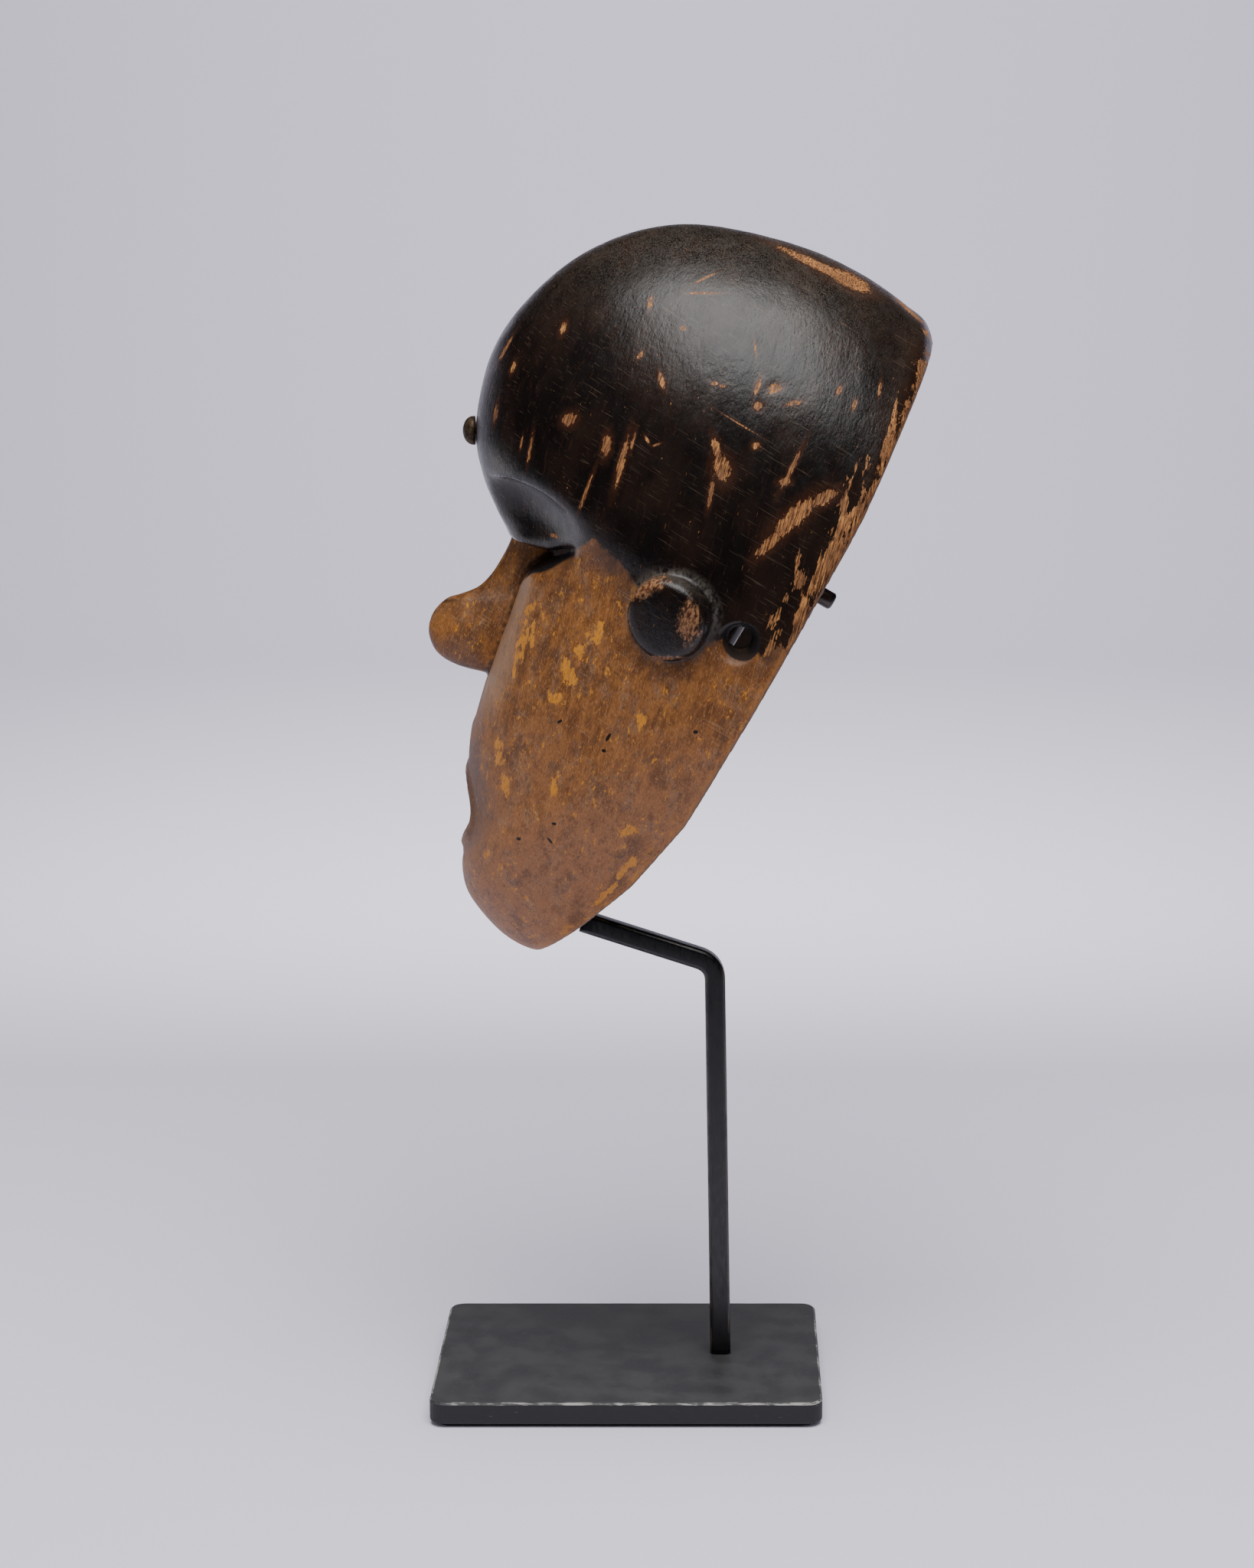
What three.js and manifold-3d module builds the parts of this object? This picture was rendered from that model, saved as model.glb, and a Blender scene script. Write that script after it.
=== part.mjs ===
import * as THREE from 'three';
import { ParametricGeometry } from 'three/addons/geometries/ParametricGeometry.js';
import { mergeVertices } from 'three/addons/utils/BufferGeometryUtils.js';
import Module from 'manifold-3d';

// A carved wooden face mask on its museum stand. Millimetres, +Z up.
// The mask looks towards -Y, +X is the mask's own left side, and the origin is the centre
// of the stand's underside.

// Stand
const GAP = 0.3;
const FELT = { thickness: 1.4, inset: 3 };
const PLATE = { length: 177, depth: 127, thickness: 10.2, corner: 7, chamfer: 0.9 };
const PLATE_BOTTOM = FELT.thickness + GAP;
const PLATE_TOP = PLATE_BOTTOM + PLATE.thickness;
const POST = { width: 9.4, corner: 2.2, bendRadius: 11, steps: 36 };
const POST_FOOT = [42.6, PLATE_TOP + GAP];
const POST_BEND = [40.0, 199.2];
const ARM_END = [-20.3, 219];
const ROD = { radius: 4, sides: 8, steps: 36, bendRadius: 6 };
const ROD_CHIN_BEND = [-28.9, 221.8];
const ROD_TOP_BEND = [64.8, 381];
const ROD_END = [92.8, 365];

// Head. Its side profile is read around a hub, and every section through the hub's axis
// is a superellipse from the hub's side poles to that profile.
const HUB = { y: 82, z: 375 };
const HALF_WIDTH = 98;
const SIDE_WALL = 9;
const PROFILE = [
  [136.2, 480], [132.5, 489.3], [124.7, 495.9], [105.4, 509.2], [76, 522.4], [25.5, 531.4],
  [-11, 522.2], [-38.6, 502.4], [-57, 478], [-65.4, 442.2], [-62.2, 421.9], [-56.9, 408.4],
  [-51, 394.7], [-51.5, 380], [-55.5, 360], [-60, 342], [-64.3, 328], [-69.3, 308],
  [-71, 288], [-71, 270], [-72.4, 258], [-74.4, 248], [-72.8, 236], [-67.8, 227],
  [-54.7, 212.7], [-41.6, 206.2], [-28, 206.5], [10, 219], [75, 262], [128, 330],
  [152, 400], [148, 450],
];
const PROFILE_SAMPLES = 900;
const HEAD_GRID = { around: 80, across: 24 };
const HOLLOW_GRID = { around: 48, across: 16 };

// Section exponents and wall thickness by direction around the hub, in degrees from +Y towards
// +Z: the wall is thin at the crown and chin ends and thick in front
const SECTION = [
  { angle: 60, across: 2.0, along: 2.4, wall: 12 },
  { angle: 120, across: 2.0, along: 2.4, wall: 17 },
  { angle: 165, across: 2.0, along: 2.4, wall: 20 },
  { angle: 188, across: 2.35, along: 2.15, wall: 20 },
  { angle: 215, across: 2.2, along: 2.05, wall: 17 },
  { angle: 236, across: 1.8, along: 2.0, wall: 8.5 },
  { angle: 420, across: 2.0, along: 2.4, wall: 12 },
];

// The back is cut to this slightly bowed line, given at the left side of the head; the cut
// runs a little off square, further back towards the right side
const RIM = [
  [190, 566], [134.2, 480], [118.9, 448.7], [101.8, 412.3], [84.4, 381], [66.8, 348.6],
  [47.8, 314.9], [27.6, 279.2], [3.5, 248.5], [-22.8, 223.1], [-60.6, 190],
];
const CUT_SKEW = 0.013;
const CUT_SKEW_FROM = 95;
const CUT_BACK = 320;
const CUT_HALF_LENGTH = 140;

// Eye slits: a thin wedge that opens towards the front under the brow
const EYE_CORNER = [-10.8, 405.2];
const EYE_BROW = [[-22.6, 396.6], [-36, 394], [-52, 394.2], [-80, 399]];
const EYE_LID = [[-80, 368], [-46, 380], [-35, 385.2], [-22.7, 392.9]];
// Flat carved from the lids down both sides of the nose, as the line its front keeps to
const FACE_FLAT = [[-42.5, 389], [-43.5, 381], [-50.5, 362], [-57.5, 346], [-64, 331], [-69, 316]];
const FACE_FLAT_CLEAR = -120;
const FACE_SEARCH = { near: -110, far: 40, halvings: 40 };
// Hollow scooped under the arch of each brow, down to the lid
const SOCKET = { x: 60, y: -31, z: 394, along: 37, deep: 11, high: 22, top: 440, back: 30 };
const SOCKET_TURN = THREE.MathUtils.degToRad(36);

// Nose: half width, front and height of its level sections
const NOSE_BACK = -38;
const NOSE = [
  { z: 333, front: -61, half: 13 }, { z: 334.5, front: -65.5, half: 14.2 },
  { z: 336, front: -72, half: 14.8 }, { z: 338, front: -77.8, half: 15.2 },
  { z: 341, front: -82.7, half: 15.6 }, { z: 345, front: -86, half: 15.8 },
  { z: 352, front: -88, half: 15.2 }, { z: 359, front: -86.6, half: 13.8 },
  { z: 364, front: -83.2, half: 12.6 }, { z: 367.5, front: -78.8, half: 11.6 },
  { z: 369, front: -73.6, half: 11 }, { z: 372.3, front: -65.6, half: 10 },
  { z: 378, front: -59.6, half: 9.2 }, { z: 385.3, front: -54.9, half: 8.8 },
  { z: 392, front: -51.4, half: 9.4 }, { z: 399, front: -49, half: 11.5 },
];
const NOSE_SIDES = 20;
const NOSE_ROUND = 0.9;
const NOSE_SHOULDER = 6;

// Ears: a disc with a hole behind it, both tilted to the front and a little down
const EAR = { y: 18.3, z: 370.2, x: 98.6, radius: 17.8, height: 9.6, root: 8, edge: 3.4, sides: 28 };
const EAR_HOLE = { y: 50.6, z: 361.6, radius: 7.3, mouth: 9, flare: 2.2, inward: 26, outward: 20, sides: 20 };
const EAR_TURN = THREE.MathUtils.degToRad(23);
const EAR_DROP = THREE.MathUtils.degToRad(9);

// Mouth and lips
const MOUTH = { z: 274, halfWidth: 20, halfHeight: 13.6, back: -40, length: 60, steps: 26 };
const LIP = { radius: 4.2, offset: 0.8, sunk: 3, lower: 0.7, sides: 8 };

// Tack in the forehead
const TACK = { z: 441.5, radius: 6.4, dome: 4.6, collar: 0.9, shank: 1.6, length: 9, sides: 20 };

// Shared corners closer than this are one
const MERGE_DISTANCE = 1e-4;

const wasm = await Module();
wasm.setup();

const X_AXIS = new THREE.Vector3(1, 0, 0);
const Y_AXIS = new THREE.Vector3(0, 1, 0);
const Z_AXIS = new THREE.Vector3(0, 0, 1);

// Joins shared corners and drops triangles that have shrunk to a line
function closedGeometry(source) {
  const bare = source.clone();
  bare.deleteAttribute('normal');
  bare.deleteAttribute('uv');
  const merged = mergeVertices(bare, MERGE_DISTANCE);
  const kept = [];
  for (let i = 0; i < merged.index.count; i += 3) {
    const [a, b, c] = [0, 1, 2].map((k) => merged.index.getX(i + k));
    if (a !== b && b !== c && c !== a) kept.push(a, b, c);
  }
  merged.setIndex(kept);
  return merged;
}

function solid(source) {
  const geometry = closedGeometry(source);
  return new wasm.Manifold(new wasm.Mesh({
    numProp: 3,
    vertProperties: new Float32Array(geometry.attributes.position.array),
    triVerts: new Uint32Array(geometry.index.array),
  }));
}

function geometryOf(manifold) {
  const mesh = manifold.getMesh();
  const geometry = new THREE.BufferGeometry();
  geometry.setAttribute('position', new THREE.BufferAttribute(new Float32Array(mesh.vertProperties), 3));
  geometry.setIndex(Array.from(mesh.triVerts));
  geometry.computeVertexNormals();
  return geometry;
}

// A shape drawn as (y, z) and pushed along X on both sides of the middle plane
function sidewaysPrism(shape, halfLength, curveSegments) {
  const geometry = new THREE.ExtrudeGeometry(shape, {
    depth: 2 * halfLength, bevelEnabled: false, curveSegments,
  });
  geometry.translate(0, 0, -halfLength);
  geometry.applyMatrix4(new THREE.Matrix4().makeBasis(Y_AXIS, Z_AXIS, X_AXIS));
  return geometry;
}

const at = ([y, z]) => new THREE.Vector3(0, y, z);
const flat = ([y, z]) => new THREE.Vector2(y, z);

// Profile radius around the hub
const profileCurve = new THREE.CatmullRomCurve3(PROFILE.map(at), true, 'centripetal');
const profilePolar = Array.from({ length: PROFILE_SAMPLES }, (_, i) => {
  const p = profileCurve.getPoint(i / PROFILE_SAMPLES);
  const angle = Math.atan2(p.z - HUB.z, p.y - HUB.y);
  return { angle: (angle + 2 * Math.PI) % (2 * Math.PI), radius: Math.hypot(p.y - HUB.y, p.z - HUB.z) };
}).sort((a, b) => a.angle - b.angle);

function profileRadius(angle) {
  const turn = 2 * Math.PI;
  const wrapped = ((angle % turn) + turn) % turn;
  const next = profilePolar.findIndex((p) => p.angle > wrapped);
  const b = profilePolar[next < 0 ? 0 : next];
  const a = profilePolar[next <= 0 ? PROFILE_SAMPLES - 1 : next - 1];
  const span = (b.angle - a.angle + turn) % turn;
  const part = ((wrapped - a.angle + turn) % turn) / span;
  return a.radius + (b.radius - a.radius) * part;
}

function sectionAt(angle) {
  let degrees = THREE.MathUtils.radToDeg(angle);
  while (degrees < SECTION[0].angle) degrees += 360;
  const found = SECTION.findIndex((s) => s.angle > degrees);
  const next = found < 1 ? SECTION.length - 1 : found;
  const [a, b] = [SECTION[next - 1], SECTION[next]];
  const part = THREE.MathUtils.smoothstep(degrees, a.angle, b.angle);
  return {
    across: THREE.MathUtils.lerp(a.across, b.across, part),
    along: THREE.MathUtils.lerp(a.along, b.along, part),
    wall: THREE.MathUtils.lerp(a.wall, b.wall, part),
  };
}

// The rounded head form, or the hollow inside its wall, as a closed grid between side poles
function headForm(isHollow, grid) {
  const halfWidth = HALF_WIDTH - (isHollow ? SIDE_WALL : 0);
  const place = (u, v, target) => {
    const edge = profileCurve.getPointAt(u === 1 ? 0 : u);
    const angle = Math.atan2(edge.z - HUB.z, edge.y - HUB.y);
    const radius = Math.hypot(edge.y - HUB.y, edge.z - HUB.z);
    const { across, along, wall } = sectionAt(angle);
    const swing = Math.PI * v;
    const reach = Math.sin(swing) ** (2 / along) * (radius - (isHollow ? wall : 0));
    const side = Math.sign(Math.cos(swing)) * Math.abs(Math.cos(swing)) ** (2 / across);
    const onPole = v === 0 || v === 1;
    target.set(
      halfWidth * side,
      HUB.y + (onPole ? 0 : reach * Math.cos(angle)),
      HUB.z + (onPole ? 0 : reach * Math.sin(angle)),
    );
  };
  return new ParametricGeometry(place, grid.around, grid.across);
}

// Half width of the outside at a place in the middle plane
function outsideHalfWidth(y, z) {
  const angle = (Math.atan2(z - HUB.z, y - HUB.y) + 2 * Math.PI) % (2 * Math.PI);
  const part = Math.hypot(y - HUB.y, z - HUB.z) / profileRadius(angle);
  const { across, along } = sectionAt(angle);
  return HALF_WIDTH * Math.max(0, 1 - part ** along) ** (1 / across);
}

// Front surface of the face at a place seen from the front
function frontAt(x, z) {
  let { near, far } = FACE_SEARCH;
  for (let i = 0; i < FACE_SEARCH.halvings; i += 1) {
    const middle = (near + far) / 2;
    if (outsideHalfWidth(middle, z) > Math.abs(x)) far = middle;
    else near = middle;
  }
  return far;
}

function backCut() {
  const shape = new THREE.Shape();
  shape.moveTo(CUT_BACK, RIM[RIM.length - 1][1]);
  shape.lineTo(CUT_BACK, RIM[0][1]);
  shape.lineTo(...RIM[0]);
  shape.splineThru(RIM.slice(1).map(flat));
  const skew = new THREE.Matrix4().set(
    1, 0, 0, 0,
    -CUT_SKEW, 1, 0, CUT_SKEW * CUT_SKEW_FROM,
    0, 0, 1, 0,
    0, 0, 0, 1,
  );
  return sidewaysPrism(shape, CUT_HALF_LENGTH, 3).applyMatrix4(skew);
}

function eyeWedge() {
  const shape = new THREE.Shape([EYE_CORNER, ...EYE_BROW, ...EYE_LID].map(flat));
  return sidewaysPrism(shape, CUT_HALF_LENGTH, 1);
}

function faceFlat() {
  const shape = new THREE.Shape([
    ...FACE_FLAT,
    [FACE_FLAT_CLEAR, FACE_FLAT[FACE_FLAT.length - 1][1]],
    [FACE_FLAT_CLEAR, FACE_FLAT[0][1]],
  ].map(flat));
  return sidewaysPrism(shape, CUT_HALF_LENGTH, 1);
}

// The scoop over one eye, cut off below at the lid
function eyeSocket(side) {
  const geometry = new THREE.SphereGeometry(1, 28, 18);
  geometry.scale(SOCKET.along, SOCKET.deep, SOCKET.high);
  geometry.rotateZ(side * SOCKET_TURN);
  geometry.translate(side * SOCKET.x, SOCKET.y, SOCKET.z);
  const above = new THREE.Shape([
    ...EYE_LID, EYE_CORNER, [SOCKET.back, SOCKET.top], [EYE_LID[0][0], SOCKET.top],
  ].map(flat));
  const lid = solid(outward(sidewaysPrism(above, CUT_HALF_LENGTH, 1)));
  return solid(outward(geometry)).intersect(lid);
}

// Level sections stacked from under the nose to its root in the brow
function noseForm() {
  const rows = NOSE.length + 1;
  const place = (u, v, target) => {
    const row = Math.round(v * rows);
    const section = NOSE[Math.min(Math.max(row - 1, 0), NOSE.length - 1)];
    const around = 2 * Math.PI * (u === 1 ? 0 : u);
    const capped = row === 0 || row === rows;
    const depth = NOSE_BACK - section.front;
    const forward = Math.abs(Math.sin(around)) ** NOSE_ROUND;
    const isFront = Math.sin(around) > 0;
    target.set(
      capped ? 0 : section.half * Math.cos(around),
      capped ? NOSE_BACK - depth / 2 : NOSE_BACK - (isFront ? depth * forward : -NOSE_SHOULDER * forward),
      section.z,
    );
  };
  return new ParametricGeometry(place, NOSE_SIDES, rows);
}

// A turned form on the tilted axis of an ear, for the left (+1) or right (-1) side
function onEarAxis(outline, sides, spot, side) {
  const geometry = new THREE.LatheGeometry(outline.map(([r, h]) => new THREE.Vector2(r, h)), sides);
  const axis = new THREE.Vector3(
    side * Math.cos(EAR_TURN) * Math.cos(EAR_DROP),
    -Math.sin(EAR_TURN) * Math.cos(EAR_DROP),
    -Math.sin(EAR_DROP),
  );
  geometry.applyQuaternion(new THREE.Quaternion().setFromUnitVectors(Y_AXIS, axis));
  geometry.translate(side * spot.x, spot.y, spot.z);
  return geometry;
}

function earDisc(side) {
  const { radius, height, root, edge } = EAR;
  const bottom = -height - root;
  const round = [0, 0.35, 0.7, 1].map((k) => [
    radius - edge * (1 - Math.cos(k * Math.PI / 2)),
    edge * (Math.sin(k * Math.PI / 2) - 1),
  ]);
  const outline = [[0, bottom], [radius, bottom], ...round, [0, -0.4]];
  return onEarAxis(outline, EAR.sides, EAR, side);
}

function earHole(side) {
  const { radius, mouth, flare, inward, outward: clear, sides } = EAR_HOLE;
  const surface = outsideHalfWidth(EAR_HOLE.y, EAR_HOLE.z);
  const outline = [
    [0, -inward], [radius, -inward], [radius, -flare], [mouth, GAP], [mouth, clear], [0, clear],
  ];
  return onEarAxis(outline, sides, { ...EAR_HOLE, x: surface }, side);
}

function mouthOutline(turn, grow) {
  return new THREE.Vector2(
    (MOUTH.halfWidth + grow) * Math.cos(turn),
    MOUTH.z + (MOUTH.halfHeight + grow) * Math.sin(turn),
  );
}

function mouthHole() {
  const turns = Array.from({ length: MOUTH.steps }, (_, i) => 2 * Math.PI * i / MOUTH.steps);
  const shape = new THREE.Shape(turns.map((t) => mouthOutline(t, 0)));
  const geometry = new THREE.ExtrudeGeometry(shape, { depth: MOUTH.length, bevelEnabled: false });
  geometry.applyMatrix4(new THREE.Matrix4().makeBasis(X_AXIS, Z_AXIS, Y_AXIS.clone().negate()));
  geometry.translate(0, MOUTH.back, 0);
  return geometry;
}

// A soft round ridge that follows the mouth on the face
function lips() {
  const place = (u, v, target) => {
    const turn = 2 * Math.PI * (u === 1 ? 0 : u);
    const ring = 2 * Math.PI * (v === 1 ? 0 : v);
    const lower = LIP.lower * Math.max(0, -Math.sin(turn));
    const p = mouthOutline(turn, LIP.radius * LIP.offset + LIP.radius * Math.cos(ring) + lower);
    const middle = mouthOutline(turn, LIP.radius * LIP.offset);
    const base = frontAt(middle.x, middle.y) + LIP.sunk - lower;
    target.set(p.x, base - LIP.radius * Math.sin(ring), p.y);
  };
  return new ParametricGeometry(place, MOUTH.steps, LIP.sides);
}

// Closes a grid and turns its faces outward
function outward(geometry) {
  const closed = closedGeometry(geometry);
  const position = closed.attributes.position;
  const index = closed.index;
  const [a, b, c] = [new THREE.Vector3(), new THREE.Vector3(), new THREE.Vector3()];
  let volume = 0;
  for (let i = 0; i < index.count; i += 3) {
    a.fromBufferAttribute(position, index.getX(i));
    b.fromBufferAttribute(position, index.getX(i + 1));
    c.fromBufferAttribute(position, index.getX(i + 2));
    volume += a.dot(b.cross(c));
  }
  if (volume >= 0) return closed;
  const turned = [];
  for (let i = 0; i < index.count; i += 3) {
    turned.push(index.getX(i), index.getX(i + 2), index.getX(i + 1));
  }
  closed.setIndex(turned);
  return closed;
}

function carvedMask() {
  let mask = solid(outward(headForm(false, HEAD_GRID)));
  mask = mask.subtract(solid(outward(eyeWedge())));
  mask = mask.subtract(solid(outward(faceFlat())));
  for (const side of [1, -1]) mask = mask.subtract(eyeSocket(side));
  mask = mask.add(solid(outward(noseForm())));
  mask = mask.add(solid(outward(lips())));
  for (const side of [1, -1]) mask = mask.add(solid(outward(earDisc(side))));
  mask = mask.subtract(solid(outward(headForm(true, HOLLOW_GRID))));
  mask = mask.subtract(solid(outward(backCut())));
  mask = mask.subtract(solid(outward(mouthHole())));
  for (const side of [1, -1]) mask = mask.subtract(solid(outward(earHole(side))));
  mask = mask.subtract(solid(outward(tackForm(GAP))));
  return geometryOf(mask);
}

// A domed tack on its shank, pointing into the forehead; grow makes the seat it leaves
function tackForm(grow) {
  const front = frontAt(0, TACK.z);
  const dome = [0, 0.25, 0.5, 0.75, 1].map((k) => [
    TACK.radius * Math.sin(k * Math.PI / 2),
    TACK.collar + TACK.dome * Math.cos(k * Math.PI / 2),
  ]).filter(([r]) => r > 0);
  const outline = [
    [0, TACK.collar + TACK.dome], ...dome, [TACK.radius, 0], [TACK.shank, 0],
    [TACK.shank, -TACK.length], [0, -TACK.length],
  ].reverse().map(([r, h]) => new THREE.Vector2(r > 0 ? r + grow : 0, h < 0 ? h - grow : h));
  const geometry = new THREE.LatheGeometry(outline, TACK.sides);
  geometry.applyQuaternion(new THREE.Quaternion().setFromUnitVectors(Y_AXIS, Y_AXIS.clone().negate()));
  geometry.translate(0, front - GAP, TACK.z);
  return geometry;
}

function roundedRectangle(width, height, corner) {
  const [x, y] = [width / 2, height / 2];
  const shape = new THREE.Shape();
  shape.moveTo(x, -y + corner);
  shape.lineTo(x, y - corner);
  shape.absarc(x - corner, y - corner, corner, 0, Math.PI / 2);
  shape.lineTo(-x + corner, y);
  shape.absarc(-x + corner, y - corner, corner, Math.PI / 2, Math.PI);
  shape.lineTo(-x, -y + corner);
  shape.absarc(-x + corner, -y + corner, corner, Math.PI, 1.5 * Math.PI);
  shape.lineTo(x - corner, -y);
  shape.absarc(x - corner, -y + corner, corner, 1.5 * Math.PI, 2 * Math.PI);
  return shape;
}

function basePlate() {
  const { length, depth, thickness, corner, chamfer } = PLATE;
  const shape = roundedRectangle(depth - 2 * chamfer, length - 2 * chamfer, corner - chamfer);
  const geometry = new THREE.ExtrudeGeometry(shape, {
    depth: thickness - 2 * chamfer, curveSegments: 5,
    bevelEnabled: true, bevelSize: chamfer, bevelThickness: chamfer, bevelSegments: 1,
  });
  geometry.translate(0, 0, PLATE_BOTTOM + chamfer);
  return geometry;
}

function baseFelt() {
  const shape = roundedRectangle(PLATE.depth - 2 * FELT.inset, PLATE.length - 2 * FELT.inset, PLATE.corner);
  return new THREE.ExtrudeGeometry(shape, { depth: FELT.thickness, bevelEnabled: false, curveSegments: 4 });
}

// A path of straight runs joined by round bends
function bentPath(points, radius) {
  const path = new THREE.CurvePath();
  let from = points[0];
  for (let i = 1; i < points.length - 1; i += 1) {
    const corner = points[i];
    const back = points[i - 1].clone().sub(corner).normalize();
    const on = points[i + 1].clone().sub(corner).normalize();
    const half = back.angleTo(on) / 2;
    const run = radius / Math.tan(half);
    const start = corner.clone().addScaledVector(back, run);
    const end = corner.clone().addScaledVector(on, run);
    path.add(new THREE.LineCurve3(from, start));
    path.add(new THREE.QuadraticBezierCurve3(start, corner, end));
    from = end;
  }
  path.add(new THREE.LineCurve3(from, points[points.length - 1]));
  return path;
}

function standPost() {
  const path = bentPath([POST_FOOT, POST_BEND, ARM_END].map(at), POST.bendRadius);
  const section = roundedRectangle(POST.width, POST.width, POST.corner);
  return new THREE.ExtrudeGeometry(section, { steps: POST.steps, extrudePath: path, curveSegments: 1 });
}

// The thin rod leaves the arm, bends up inside the mask and turns back out behind the rim
function innerSupport() {
  const armStart = at(ARM_END);
  const armDirection = armStart.clone().sub(at(POST_BEND)).normalize();
  const start = armStart.clone().addScaledVector(armDirection, GAP);
  const points = [start, at(ROD_CHIN_BEND), at(ROD_TOP_BEND), at(ROD_END)];
  const path = bentPath(points, ROD.bendRadius);
  const turns = Array.from({ length: ROD.sides }, (_, i) => 2 * Math.PI * (i + 0.5) / ROD.sides);
  const section = new THREE.Shape(turns.map((t) => (
    new THREE.Vector2(ROD.radius * Math.cos(t), ROD.radius * Math.sin(t)))));
  return new THREE.ExtrudeGeometry(section, { steps: ROD.steps, extrudePath: path });
}

const FINISH = {
  mask: { color: 0x7a4a22, roughness: 0.5, metalness: 0 },
  forehead_tack: { color: 0x5a4a34, roughness: 0.5, metalness: 0.8 },
  base_plate: { color: 0x3a3a3b, roughness: 0.45, metalness: 0.6 },
  base_felt: { color: 0x141414, roughness: 1, metalness: 0 },
  stand_post: { color: 0x101010, roughness: 0.4, metalness: 0.3 },
  inner_support: { color: 0x121212, roughness: 0.5, metalness: 0.3 },
};

const part = new THREE.Group();

function addPiece(name, geometry) {
  const mesh = new THREE.Mesh(geometry, new THREE.MeshStandardMaterial(FINISH[name]));
  mesh.name = name;
  part.add(mesh);
}

addPiece('mask', carvedMask());
addPiece('forehead_tack', outward(tackForm(0)));
addPiece('base_plate', outward(basePlate()));
addPiece('base_felt', outward(baseFelt()));
addPiece('stand_post', outward(standPost()));
addPiece('inner_support', outward(innerSupport()));

export default part;
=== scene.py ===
"""A carved wooden face mask on its museum stand: fine relief, finish, light and camera."""

import math

import bpy
import numpy as np
from mathutils import Matrix, Vector


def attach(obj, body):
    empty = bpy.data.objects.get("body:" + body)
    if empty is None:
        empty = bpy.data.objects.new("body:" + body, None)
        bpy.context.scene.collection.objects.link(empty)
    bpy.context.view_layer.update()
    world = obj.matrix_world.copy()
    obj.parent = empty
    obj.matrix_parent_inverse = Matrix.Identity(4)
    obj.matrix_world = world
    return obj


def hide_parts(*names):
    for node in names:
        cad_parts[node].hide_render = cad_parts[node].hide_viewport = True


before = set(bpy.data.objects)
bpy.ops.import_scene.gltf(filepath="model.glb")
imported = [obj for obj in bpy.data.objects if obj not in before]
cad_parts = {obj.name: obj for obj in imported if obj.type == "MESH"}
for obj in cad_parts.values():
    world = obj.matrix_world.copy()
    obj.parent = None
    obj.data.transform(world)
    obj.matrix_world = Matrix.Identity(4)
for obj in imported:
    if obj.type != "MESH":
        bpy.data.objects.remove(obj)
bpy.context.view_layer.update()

# Millimetres throughout, in the same frame as the solids; meshes are turned to metres when made
MM = 0.001
# Keeps divisions from failing
TINY = 1e-6

# Head: side profile around a hub, and superellipse sections through the hub's axis
HUB_Y, HUB_Z = 82.0, 375.0
HALF_WIDTH = 98.0
SIDE_WALL = 9.0
PROFILE = [
    (136.2, 480), (132.5, 489.3), (124.7, 495.9), (105.4, 509.2), (76, 522.4), (25.5, 531.4),
    (-11, 522.2), (-38.6, 502.4), (-57, 478), (-65.4, 442.2), (-62.2, 421.9), (-56.9, 408.4),
    (-51, 394.7), (-51.5, 380), (-55.5, 360), (-60, 342), (-64.3, 328), (-69.3, 308),
    (-71, 288), (-71, 270), (-72.4, 258), (-74.4, 248), (-72.8, 236), (-67.8, 227),
    (-54.7, 212.7), (-41.6, 206.2), (-28, 206.5), (10, 219), (75, 262), (128, 330),
    (152, 400), (148, 450),
]
# Degrees around the hub from +Y towards +Z, exponents across and along, wall thickness
SECTION = np.array([
    (60, 2.0, 2.4, 12), (120, 2.0, 2.4, 17), (165, 2.0, 2.4, 20), (188, 2.35, 2.15, 20),
    (215, 2.2, 2.05, 17), (236, 1.8, 2.0, 8.5), (420, 2.0, 2.4, 12),
])
RIM = [
    (190, 566), (134.2, 480), (118.9, 448.7), (101.8, 412.3), (84.4, 381), (66.8, 348.6),
    (47.8, 314.9), (27.6, 279.2), (3.5, 248.5), (-22.8, 223.1), (-60.6, 190),
]
CUT_SKEW = 0.013
CUT_SKEW_FROM = 95.0

# Eyes, face plane, sockets
EYE_CORNER = (-20.5, 395.2)
EYE_BROW = [(-25, 394.7), (-28, 393.8), (-32, 393), (-40, 394.2), (-47, 395.8), (-80, 399)]
EYE_LID = [(-80, 366), (-46, 380.2), (-38, 384.4), (-30.3, 388.4), (-25, 391.9)]
LID_END = (-10.8, 402.0)
FACE_FLAT = [(-42.5, 389), (-43.5, 381), (-50.5, 362), (-57.5, 346), (-64, 331), (-69, 316)]
FACE_FLAT_CLEAR = -120.0
SOCKET = {
    "x": 54, "y": -38, "z": 404, "along": 33, "deep": 9, "high": 18, "fall": 0.25,
    "top": 440, "back": 30,
}
SOCKET_TURN = math.radians(36)

# Nose: height, front and half width of its level sections
NOSE_BACK = -38.0
NOSE_SHOULDER = 9.5
NOSE_ROUND = 0.9
NOSE = np.array([
    (333, -61, 13), (334.5, -65.5, 14.2), (336, -72, 14.8), (338, -77.8, 15.2),
    (341, -82.7, 15.6), (345, -86, 15.8), (352, -88, 15.2), (359, -86.6, 13.8),
    (364, -83.2, 12.6), (367.5, -78.8, 11.6), (369, -73.6, 11), (372.3, -65.6, 10),
    (378, -59.6, 9.2), (385.3, -54.9, 8.8), (392, -51.4, 9.4), (399, -49, 11.5),
])

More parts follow.
